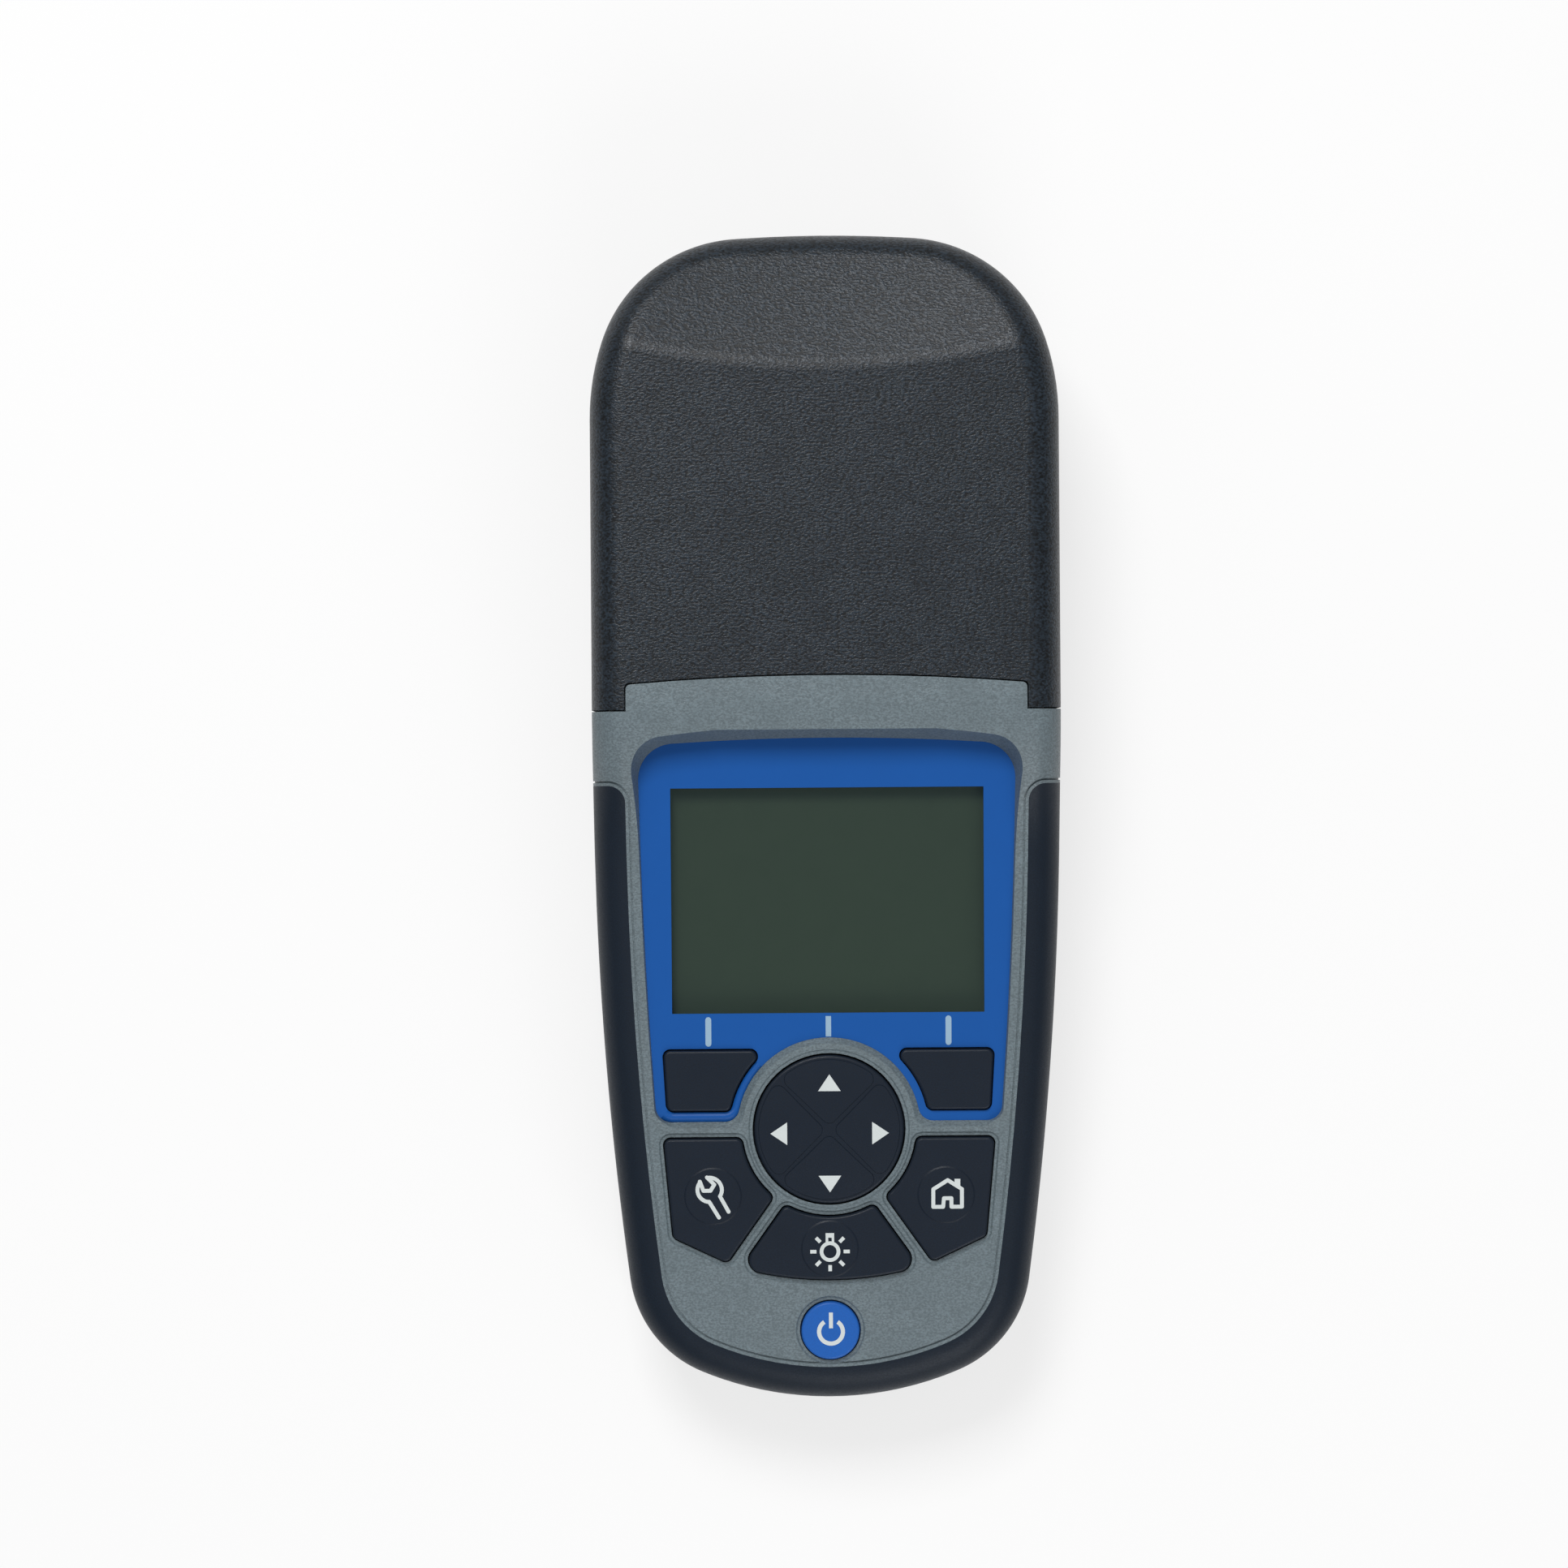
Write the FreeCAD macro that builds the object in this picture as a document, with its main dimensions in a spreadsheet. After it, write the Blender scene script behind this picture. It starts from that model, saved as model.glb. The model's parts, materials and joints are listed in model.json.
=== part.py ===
"""Portable colorimeter for water samples, lying on its back, in millimetres.

X points to the right, Y towards the cap end and Z up out of the front face.
The origin is on the surface it rests on, under the middle of its length.

The outer form is one wedge: a plan outline of tangent arcs, cut by a side profile with a
curved ramp and by a cone for the cap's facet, with its crease and rims rounded. Every moulding
(cap, two housings, grip, their hollows) is that same form set in by its own amount.
"""
import FreeCAD
import Part

import math
import os
import re

import Sketcher

Vector = FreeCAD.Vector
Placement = FreeCAD.Placement
Rotation = FreeCAD.Rotation

ORIGIN = Vector(0, 0, 0)
X_AXIS = Vector(1, 0, 0)
Y_AXIS = Vector(0, 1, 0)
Z_AXIS = Vector(0, 0, 1)
REACH = 400.0
EVERYWHERE = (-REACH, REACH)
PAST = 5.0

# Driving dimensions: name, value in millimetres or degrees, meaning
SIZES = [
    ("body_length", 236.0, "length of the whole instrument"),
    ("body_width", 94.4, "width across the straight sides"),
    ("body_thickness", 46.0, "back face to the level top"),
    ("foot_height", 1.0, "how far the feet stand out of the back"),
    ("keypad_tilt", 4.5, "slope of the keypad face, degrees"),
    ("keypad_end_thickness", 28.0, "back face to the keypad face at its end"),
    ("ramp_start_y", -8.0, "where the keypad face turns up"),
    ("ramp_radius", 36.3, "radius of both arcs of the ramp"),
    ("facet_length", 26.8, "cap end to the facet's crease"),
    ("facet_angle", 19.0, "fall of the cap's facet, degrees"),
    ("facet_radius", 178.0, "plan curve of the facet's crease, round a point beyond the cap"),
    ("keypad_corner_radius", 24.0, "plan corner at the keypad end"),
    ("keypad_end_turn", 23.0, "turn of the keypad end's arc, degrees"),
    ("side_turn", 7.5, "turn of the tapering side, degrees"),
    ("side_radius", 764.0, "radius of the tapering side"),
    ("cap_corner_radius", 30.0, "plan corner at the cap end"),
    ("cap_shoulder_radius", 50.0, "arc that leads into the cap's corner"),
    ("cap_end_turn", 4.0, "turn of the cap end's arc, degrees"),
    ("cap_shoulder_turn", 20.0, "turn of the cap's shoulder, degrees"),
    ("rim_radius", 6.5, "round along the front rim"),
    ("back_radius", 8.0, "round along the back rim"),
    ("facet_crease_radius", 8.0, "round where the top meets the facet"),
    ("grip_thickness", 2.6, "moulded-on grip over the housings"),
    ("grip_border", 6.6, "width of the grip in plan"),
    ("grip_top_y", 6.9, "cap-side end of the grip"),
    ("grip_corner_radius", 3.5, "corner of the grip beside the grey face"),
    ("trim_offset", 0.6, "grip's edge to the fine groove in the grey face"),
    ("trim_width", 0.4, "width of that groove"),
    ("trim_depth", 0.35, "depth of that groove"),
    ("face_wall", 2.6, "front and back walls of the handle"),
    ("side_wall", 3.0, "side walls of the handle, inside the grip"),
    ("hollow_radius", 5.0, "rounds along the handle's hollow"),
    ("hollow_end_y", 18.5, "cap-side end of the handle's hollow"),
    ("parting_height", 20.0, "parting plane between the housings"),
    ("cap_wall", 2.6, "wall of the cap"),
    ("cap_clearance", 0.8, "room between the cap and the neck"),
    ("neck_wall", 2.2, "wall of the neck"),
    ("neck_setback", 14.0, "cap end to the neck's end"),
    ("neck_end_radius", 2.0, "upright corners of the neck's end"),
    ("mouth_y", 22.1, "mouth of the cap at its sides"),
    ("tongue_margin", 6.7, "side of the body to the housing's tongue"),
    ("tongue_tip_y", 29.1, "tip of the tongue on the centre line"),
    ("tongue_tip_radius", 483.0, "plan curve of the tongue's tip"),
    ("tongue_floor", 34.0, "height of the tongue's underside"),
    ("tongue_corner_radius", 1.0, "corners of the tongue's tip"),
    ("shut_gap", 0.3, "gap between the shut cap and the housing"),
    ("guide_rib_height", 2.0, "height of the cap's guide ribs"),
    ("low_rib_z", 14.0, "level of the lower guide ribs"),
    ("high_rib_z", 28.0, "level of the upper guide ribs"),
    ("guide_rib_start_y", 32.0, "mouth end of the guide ribs"),
    ("guide_rib_end_y", 68.0, "far end of the guide ribs"),
    ("guide_rib_gap", 0.3, "running gap of the guide ribs on the neck"),
    ("seal_inset", 4.0, "outline to the housing seal"),
    ("seal_width", 1.0, "width of the housing seal"),
    ("seal_depth", 1.0, "depth of the housing seal"),
    ("nav_setback", 55.1, "keypad end to the centre of the navigation pad"),
    ("nav_radius", 15.12, "radius of the navigation pad"),
    ("nav_gap", 0.38, "gap round the navigation pad"),
    ("nav_rim_height", 0.3, "rim of the pad above the face"),
    ("nav_crown", 0.5, "rise of the pad's middle over its rim"),
    ("nav_step_width", 0.55, "width of the fine step round the pad"),
    ("nav_step_depth", 0.3, "depth of the fine step round the pad"),
    ("nav_flange", 1.2, "how far the pad's flange reaches out"),
    ("nav_flange_thickness", 0.55, "thickness of the pad's flange"),
    ("petal_height", 0.18, "height of the pad's four raised petals"),
    ("petal_start", 0.8, "centre to the point where each petal's sides meet"),
    ("petal_end", 14.0, "centre to the far edge of each petal"),
    ("petal_corner", 1.5, "plan corners of the petals"),
    ("pivot_radius", 3.5, "radius of the pivot under the pad"),
    ("pivot_thickness", 0.5, "thickness of the pivot"),
    ("pivot_gap", 0.15, "rocking gap above and below the pivot"),
    ("window_top_y", 16.5, "top of the window on the centre line"),
    ("window_top_radius", 480.0, "plan curve of the window's top edge"),
    ("window_low_rise", 1.5, "pad's centre to the window's bottom edge"),
    ("window_side_margin", 2.4, "grip's border to the window at its widest"),
    ("window_widest_rise", 90.7, "pad's centre to where the window's side arcs are widest"),
    ("window_side_radius", 1200.0, "radius of the window's side arcs"),
    ("window_notch_radius", 18.6, "notch of the window round the pad"),
    ("window_top_corner", 7.2, "top corners of the window"),
    ("window_low_corner", 3.2, "bottom outer corners of the window"),
    ("window_notch_corner", 3.0, "corners between bottom edge and notch"),
    ("window_depth", 1.2, "face down to the window"),
    ("window_thickness", 1.5, "thickness of the window"),
    ("window_gap", 0.1, "gap round the window"),
    ("tape_thickness", 0.2, "sealing tape under the window"),
    ("tape_inset", 0.3, "tape's edges inside what they lie on"),
    ("ledge_thickness", 1.5, "ledge that carries the window"),
    ("ledge_margin", 3.2, "how far the ledge reaches past the window"),
    ("recess_height", 7.8, "height of the flared recess over the window"),
    ("recess_side_flare", 1.7, "growth of the recess's sides"),
    ("recess_top_flare", 3.2, "growth of the recess's cap-side wall"),
    ("recess_top_radius", 262.0, "plan curve of the recess's cap-side edge"),
    ("recess_low_flare", 1.2, "growth of the recess's bottom wall"),
    ("recess_bevel", 1.1, "bevel below the window and round the pad"),
    ("view_side_margin", 6.6, "window's widest side to the clear view"),
    ("view_setback", 23.6, "pad's centre to the clear view"),
    ("view_high_y", 6.3, "top of the clear view"),
    ("view_margin", 0.8, "ledge's opening past the clear view"),
    ("key_rise", 0.8, "keys above the face"),
    ("soft_key_drop", 0.2, "tops of the soft keys below the face"),
    ("key_gap", 0.3, "gap round each key"),
    ("key_step_width", 0.5, "width of the fine step round each key"),
    ("key_step_depth", 0.35, "depth of the fine step round each key"),
    ("key_flange", 0.8, "how far each key's flange reaches out"),
    ("key_flange_thickness", 1.0, "thickness of each key's flange"),
    ("key_play", 0.05, "play between a key's flange and its stop"),
    ("key_edge_radius", 0.5, "round along the tops of the keys"),
    ("key_travel", 0.6, "press of a key"),
    ("key_corner", 1.3, "plan corners of the keys"),
    ("round_radius", 5.85, "radius of the raised round on a key"),
    ("round_height", 0.18, "height of the raised round on a key"),
    ("round_bevel", 0.3, "width of the raised round's bevel"),
    ("soft_key_top", 16.1, "top edge of a soft key from the pad's centre"),
    ("soft_key_bottom", 3.8, "bottom edge of a soft key from the pad's centre"),
    ("soft_key_margin", 4.8, "window's widest side to a soft key"),
    ("soft_key_taper", 0.7, "how much the outer edge draws in"),
    ("soft_key_notch_radius", 20.4, "soft key's edge round the pad"),
    ("menu_key_top", -1.76, "top edge of the settings and home keys"),
    ("menu_key_margin", 4.7, "window's widest side to the settings and home keys"),
    ("menu_key_notch_radius", 17.8, "those keys' edge round the pad"),
    ("menu_waist_x", 7.84, "inner end of their slanted inner side, across"),
    ("menu_waist_y", -8.72, "inner end of that side, along"),
    ("menu_foot_inner_x", 20.79, "inner corner of their foot, across"),
    ("menu_foot_inner_y", -27.12, "inner corner of their foot, along"),
    ("menu_key_taper", 1.82, "how much those keys' outer side draws in"),
    ("menu_foot_outer_y", -21.93, "outer corner of their foot, along"),
    ("light_foot_y", -30.65, "lowest point of the backlight key's round foot"),
    ("light_corner_x", 18.1, "foot corner of the backlight key, across"),
    ("light_corner_y", -28.2, "foot corner of the backlight key, along"),
    ("light_waist_x", 6.3, "upper end of the backlight key's side, across"),
    ("light_waist_y", -11.6, "upper end of the backlight key's side, along"),
    ("soft_icon_inset", 6.4, "outer edge of a soft key to its middle"),
    ("soft_icon_y", 9.8, "middle of a soft key, along"),
    ("menu_icon_inset", 9.9, "outer edge of those keys to their icons"),
    ("menu_icon_y", -13.4, "middle of those icons, along"),
    ("light_icon_y", -24.3, "middle of the backlight icon"),
    ("power_key_y", -41.1, "centre of the power key from the pad's centre"),
    ("power_key_radius", 5.9, "radius of the power key"),
    ("mat_thickness", 1.0, "web of the keypad mat"),
    ("mat_margin", 0.6, "mat's edge inside the board's"),
    ("mat_dome_radius", 3.2, "radius of the mat's domes"),
    ("mat_dome_height", 0.1, "height of the mat's domes"),
    ("board_thickness", 1.6, "thickness of the circuit boards"),
    ("keypad_board_margin", 7.2, "housing's wall to the keypad board"),
    ("keypad_board_low", -27.5, "end of its wide part from the pad's centre"),
    ("keypad_board_high", 18.5, "upper end of the keypad board"),
    ("keypad_tab_half_width", 17.0, "half width of its lower tab"),
    ("keypad_tab_low", -46.0, "lower end of the keypad board's tab"),
    ("main_board_margin", 8.6, "housing's wall to the main board"),
    ("main_board_low", 5.0, "lower end of the main board"),
    ("main_board_reach", 10.6, "display's frame to the main board's upper end"),
    ("main_board_ear", 6.4, "reach of the main board's ears"),
    ("ear_half_length", 3.4, "half length of the main board's ears"),
    ("ear_drop", 6.0, "middle of the display to the ears"),
    ("ear_hole_inset", 2.2, "end of an ear to its screw"),
    ("high_post_inset_x", 5.0, "side of the main board to its upper screws"),
    ("high_post_inset_y", 4.5, "upper end of the main board to those screws"),
    ("tab_post_x", 14.0, "centre line to the keypad board's screws"),
    ("tab_post_y", -38.0, "those screws from the pad's centre"),
    ("post_root", 0.5, "how far a post runs into the wall that carries it"),
    ("header_half_width", 12.0, "half width of the connector between the boards"),
    ("header_low", 3.0, "lower end of the main board to the connector"),
    ("header_length", 5.0, "length of the connector"),
    ("clock_cell_margin", 15.0, "side of the main board to the middle of the clock's coin cell"),
    ("clock_cell_inset", 16.0, "upper end of the main board to the coin cell's middle"),
    ("clock_cell_radius", 10.0, "radius of the coin cell"),
    ("clock_cell_thickness", 3.2, "thickness of the coin cell"),
    ("board_post_radius", 2.3, "posts that carry the boards"),
    ("board_screw_radius", 1.2, "shank of the board screws"),
    ("board_screw_head_radius", 2.2, "head of the board screws"),
    ("board_screw_head_height", 1.4, "height of the board screws' heads"),
    ("board_screw_length", 4.2, "shank length of the board screws"),
    ("screw_fit", 0.02, "radial play of a screw in its post"),
    ("hole_end", 0.3, "room past a screw's tip"),
    ("hole_play", 0.2, "radial play of a screw in a plate"),
    ("lcd_side_margin", 2.6, "clear view to the frame's side"),
    ("lcd_low", 20.2, "lower end of the display's frame"),
    ("lcd_high_margin", 3.2, "clear view to the frame's upper end"),
    ("lcd_frame_wall", 0.8, "walls of the display's frame"),
    ("lcd_lip", 0.45, "thickness of the frame's front lip"),
    ("lcd_view_margin", 0.6, "lip's opening past the clear view"),
    ("lcd_glass_thickness", 2.3, "thickness of the display glass"),
    ("lcd_gap", 0.05, "display frame to the ledge"),
    ("lcd_stack", 4.15, "thickness of the display's frame"),
    ("battery_radius", 7.25, "radius of a cell"),
    ("battery_length", 50.5, "length of a cell with its nub"),
    ("battery_nub_radius", 2.75, "radius of a cell's nub"),
    ("battery_nub_length", 1.0, "length of a cell's nub"),
    ("battery_bevel", 0.6, "edges of a cell's can"),
    ("battery_pitch", 15.2, "spacing of the cells"),
    ("battery_rest", 0.3, "cells above their cover"),
    ("bay_setback", 46.5, "keypad end to the battery bay"),
    ("bay_side_play", 0.55, "cells to the bay's side walls"),
    ("bay_wall", 1.8, "walls of the battery bay"),
    ("bay_floor_wall", 2.0, "wall above the battery cover's ledge"),
    ("bay_roof_play", 0.6, "cells to the bay's roof"),
    ("contact_thickness", 0.5, "thickness of the flat contacts"),
    ("contact_width", 9.0, "width of the battery contacts"),
    ("spring_length", 4.0, "room for each battery spring"),
    ("spring_strip", 0.4, "thickness of the spring strip"),
    ("spring_width", 3.0, "width of each spring's bow"),
    ("cover_thickness", 2.2, "thickness of the battery cover"),
    ("cover_gap", 0.2, "gap round the battery cover"),
    ("cover_ledge", 2.0, "ledge round the bay under its cover"),
    ("cover_corner", 3.0, "corners of the battery cover"),
    ("cover_lug", 8.0, "strip of the cover that takes its screws"),
    ("cover_tab_length", 2.0, "tabs that hook the cover in"),
    ("cover_tab_width", 9.0, "width of those tabs"),
    ("cover_tab_thickness", 1.1, "thickness of those tabs"),
    ("cover_tab_x", 18.0, "centre line to each tab"),
    ("cover_seal_width", 1.0, "width of the cover's seal"),
    ("cover_seal_depth", 0.8, "depth of the cover's seal"),
    ("cover_screw_x", 22.0, "centre line to each cover screw"),
    ("cover_screw_radius", 1.5, "shank of the cover screws"),
    ("cover_screw_head_radius", 3.2, "head of the cover screws"),
    ("cover_screw_head_height", 1.3, "height of the cover screws' heads"),
    ("cover_screw_length", 8.0, "shank length of the cover screws"),
    ("cover_boss_radius", 3.4, "bosses of the cover screws"),
    ("cover_boss_end", 2.0, "length of those bosses past the screws"),
    ("coin_slot_half", 0.6, "half width of the coin slot in the cover screws"),
    ("housing_screw_radius", 1.5, "shank of the housing screws"),
    ("housing_screw_head_radius", 2.8, "head of the housing screws"),
    ("housing_screw_head_height", 1.9, "height of the housing screws' heads"),
    ("housing_screw_length", 20.0, "shank length of the housing screws"),
    ("housing_screw_sink", 3.5, "counterbore of the housing screws"),
    ("screw_boss_radius", 4.2, "rear screw bosses"),
    ("front_boss_radius", 3.6, "front screw bosses"),
    ("handle_screw_margin", 23.2, "side of the body to the handle's screws"),
    ("handle_screw_setback", 20.0, "keypad end to the handle's screws"),
    ("mouth_screw_margin", 11.2, "side of the body to the screws by the mouth"),
    ("mouth_screw_y", 33.0, "screws by the mouth along the length"),
    ("neck_screw_margin", 16.2, "side of the body to the neck's screws"),
    ("neck_screw_setback", 10.0, "neck's end to its screws"),
    ("foot_radius", 4.0, "radius of the feet"),
    ("foot_sink", 0.6, "depth of the feet's seats"),
    ("low_foot_margin", 20.2, "side of the body to the keypad end's feet"),
    ("low_foot_setback", 31.0, "keypad end to its feet"),
    ("high_foot_margin", 13.2, "side of the body to the other feet"),
    ("high_foot_y", 14.0, "other feet along the length"),
    ("well_setback", 38.0, "neck's end to the centre of the cell well"),
    ("well_radius", 12.8, "bore of the cell well"),
    ("well_wall", 2.7, "wall of the cell holder's tube"),
    ("well_floor", 2.0, "floor of the cell well"),
    ("well_hole_gap", 0.1, "gap between the tube and the neck's hole"),
    ("well_foot_gap", 0.2, "holder's foot above the neck's floor"),
    ("well_mouth_drop", 0.4, "tube's mouth below the neck's top"),
    ("holder_flange_half", 21.0, "half side of the holder's flange"),
    ("holder_flange_thickness", 2.5, "thickness of the holder's flange"),
    ("holder_post_height", 3.0, "posts between the flange and the neck's top"),
    ("holder_post_radius", 2.9, "radius of those posts"),
    ("holder_screw_reach", 17.6, "centre lines to the holder's screws"),
    ("holder_screw_length", 4.6, "shank length of the holder's screws"),
    ("light_height", 18.0, "height of the light path"),
    ("light_bore_radius", 3.2, "bore of the holder's light arms"),
    ("light_port_radius", 2.0, "ports through the tube's wall"),
    ("arm_reach", 21.5, "centre line to the ends of the light arms"),
    ("arm_half_length", 8.0, "half length of the light arms"),
    ("arm_half_height", 6.0, "half height of the light arms"),
    ("arm_bore_end", 15.9, "inner end of the arms' bores"),
    ("lens_thickness", 2.0, "thickness of the source lens"),
    ("lens_play", 0.05, "radial play of the lens and filter"),
    ("filter_thickness", 1.2, "thickness of the detector's filter"),
    ("diode_radius", 2.6, "radius of the detector's can"),
    ("diode_length", 3.0, "length of the detector's can"),
    ("lamp_radius", 0.95, "radius of each lamp"),
    ("lamp_length", 2.4, "length of each lamp"),
    ("lamp_spacing", 1.15, "arm's centre to the middle of each lamp"),
    ("optics_board_rise", 5.0, "optics boards above the arms"),
    ("optics_screw_y", 5.6, "arm's centre to each optics screw"),
    ("optics_hole_depth", 6.0, "depth of the arms' screw holes"),
    ("optics_screw_radius", 1.0, "shank of the optics screws"),
    ("optics_screw_head_radius", 1.9, "head of the optics screws"),
    ("optics_screw_head_height", 1.2, "height of the optics screws' heads"),
    ("optics_screw_length", 5.5, "shank length of the optics screws"),
    ("well_seal_width", 1.6, "width of the well's light seal"),
    ("well_seal_gap", 1.2, "tube's wall to the light seal"),
    ("well_seal_sink", 0.8, "depth of the light seal's groove"),
    ("well_seal_rise", 0.2, "light seal above the neck"),
    ("leaf_thickness", 0.3, "strip of the leaf spring in the well"),
    ("leaf_width", 5.0, "width of that leaf spring"),
    ("leaf_height", 16.0, "height of that leaf spring"),
    ("leaf_recess", 0.1, "leaf spring behind the bore's wall"),
    ("leaf_play", 0.05, "play of the leaf spring in its slot"),
]

# Places that keep their distance from an edge or from another place: name, expression, meaning
TIED_SIZES = [
    ("facet_start_y", "body_length / 2 - facet_length", "where the level top breaks to the cap's facet"),
    ("neck_end_y", "body_length / 2 - neck_setback", "end of the neck inside the cap"),
    ("tongue_half_width", "body_width / 2 - tongue_margin", "half width of the housing's tongue"),
    ("nav_centre_y", "nav_setback - body_length / 2", "centre of the navigation pad"),
    ("window_bottom_y", "nav_centre_y + window_low_rise", "bottom of the window"),
    ("window_widest_y", "nav_centre_y + window_widest_rise", "where the window's side arcs are widest"),
    ("window_half_width", "body_width / 2 - grip_border - window_side_margin", "widest half width of the window's side arcs"),
    ("view_half_width", "window_half_width - view_side_margin", "half width of the clear view"),
    ("view_low_y", "nav_centre_y + view_setback", "bottom of the clear view"),
    ("soft_key_outer", "window_half_width - soft_key_margin", "outer edge of a soft key at its top"),
    ("menu_key_outer", "window_half_width - menu_key_margin", "outer edge of those keys at their top"),
    ("menu_foot_outer_x", "menu_key_outer - menu_key_taper", "outer corner of their foot, across"),
    ("soft_icon_x", "soft_key_outer - soft_icon_inset", "middle of a soft key, across"),
    ("menu_icon_x", "menu_key_outer - menu_icon_inset", "middle of the settings and home icons, across"),
    ("keypad_board_half_width", "body_width / 2 - grip_thickness - side_wall - keypad_board_margin", "half width of the keypad board"),
    ("main_board_half_width", "body_width / 2 - grip_thickness - side_wall - main_board_margin", "half width of the main board"),
    ("main_board_high", "lcd_high + main_board_reach", "upper end of the main board"),
    ("clock_cell_x", "clock_cell_margin - main_board_half_width", "centre line to the clock's coin cell"),
    ("lcd_half_width", "view_half_width + lcd_side_margin", "half width of the display's frame"),
    ("lcd_high", "view_high_y - nav_centre_y + lcd_high_margin", "upper end of the display's frame"),
    ("bay_low_y", "bay_setback - body_length / 2", "keypad-side end of the battery bay"),
    ("handle_screw_x", "body_width / 2 - handle_screw_margin", "centre line to the handle's screws"),
    ("handle_screw_y", "handle_screw_setback - body_length / 2", "handle's screws along the length"),
    ("mouth_screw_x", "body_width / 2 - mouth_screw_margin", "centre line to the screws by the mouth"),
    ("neck_screw_x", "body_width / 2 - neck_screw_margin", "centre line to the screws at the neck's end"),
    ("neck_screw_y", "neck_end_y - neck_screw_setback", "screws at the neck's end along the length"),
    ("low_foot_x", "body_width / 2 - low_foot_margin", "centre line to the keypad end's feet"),
    ("low_foot_y", "low_foot_setback - body_length / 2", "keypad end's feet along the length"),
    ("high_foot_x", "body_width / 2 - high_foot_margin", "centre line to the other feet"),
    ("well_y", "neck_end_y - well_setback", "centre of the cell well"),
]


def make_sheet(document):
    """Write the driving dimensions into a spreadsheet of plain numbers."""
    sheet = document.addObject("Spreadsheet::Sheet", "Sizes")
    for row, (name, value, meaning) in enumerate(SIZES, start=1):
        sheet.set("A%d" % row, meaning)
        sheet.set("B%d" % row, str(value))
        sheet.setAlias("B%d" % row, name)
    document.recompute()
    return sheet


DOCUMENT = FreeCAD.newDocument("Colorimeter")
SHEET = make_sheet(DOCUMENT)
NAMES = {name for name, value, meaning in SIZES}
TIED = {name: text for name, text, meaning in TIED_SIZES}
NODES = []


def formula(text):
    """Point the names of the sizes in an expression at the sheet, the tied ones through their own."""
    def swap(match):
        word = match.group()
        if word in TIED:
            return "(" + formula(TIED[word]) + ")"
        return "Sizes." + word if word in NAMES else word
    return re.sub(r"[a-z][a-z_0-9]*", swap, text)


def measure(text):
    """Work out an expression of sizes."""
    return float(SHEET.evalExpression(formula(text)))


def size(name):
    """Read one size: a driving dimension in the sheet or a place tied to others."""
    return measure(name) if name in TIED else float(getattr(SHEET, name))


def bind(thing, **expressions):
    """Bind properties of an object to expressions of sizes."""
    for key, text in expressions.items():
        thing.setExpression(key.replace("__", "."), formula(text))


# Places derived from the sizes
TILT = math.radians(size("keypad_tilt"))
BACK = size("foot_height")
CROWN = BACK + size("body_thickness")
HALF_LENGTH = size("body_length") / 2
NAV_Y = size("nav_centre_y")
NAV_Z_TEXT = "foot_height + keypad_end_thickness + (nav_centre_y + body_length / 2) * tan(keypad_tilt)"
FACE_FRAME = Placement(Vector(0, NAV_Y, measure(NAV_Z_TEXT)), Rotation(X_AXIS, size("keypad_tilt")))
HANDLE_INSET = size("grip_thickness") + size("side_wall")
NECK_INSET = size("cap_wall") + size("cap_clearance")
NECK_HOLLOW_INSET = NECK_INSET + size("neck_wall")
WINDOW_BASE = size("window_depth") + size("window_thickness") + size("tape_thickness")
LEDGE_BASE = WINDOW_BASE + size("ledge_thickness")
MAT_TOP_TEXT = ("(window_depth + window_thickness + 2 * key_play + key_flange_thickness"
                " + key_travel + mat_dome_height)")
MAT_TOP = measure(MAT_TOP_TEXT)
NAV_BOTTOM_TEXT = "(" + MAT_TOP_TEXT + " - 2 * pivot_gap - pivot_thickness)"
NAV_BOTTOM = measure(NAV_BOTTOM_TEXT)


def keep(label, shape):
    """Add a copy of a computed shape as a sub-part under its own label."""
    feature = DOCUMENT.addObject("Part::Feature", label)
    feature.Shape = shape.copy()
    NODES.append(feature)
    return feature


def on_face(shape):
    """Carry a shape drawn in the keypad's frame to its place on the body."""
    moved = shape.copy()
    moved.Placement = FACE_FRAME.multiply(moved.Placement)
    return moved


def cylinder(radius, low, high, x=0.0, y=0.0):
    """Make an upright cylinder between two heights."""
    return Part.makeCylinder(radius, high - low, Vector(x, y, low))


def block(x_low, x_high, y_low, y_high, z_low, z_high):
    """Make a box between two corners."""
    return Part.makeBox(x_high - x_low, y_high - y_low, z_high - z_low, Vector(x_low, y_low, z_low))


def stretch(y_low, y_high):
    """Make a block that takes a stretch of the body's length, whole in width and height."""
    return block(*EVERYWHERE, y_low, y_high, -PAST, CROWN + PAST)


def mirrored(shape):
    """Mirror a shape to the other side of the centre line."""
    return shape.mirror(ORIGIN, X_AXIS)


def both_sides(shape):
    """Return a shape and its mirror image."""
    return [shape, mirrored(shape)]


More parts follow.
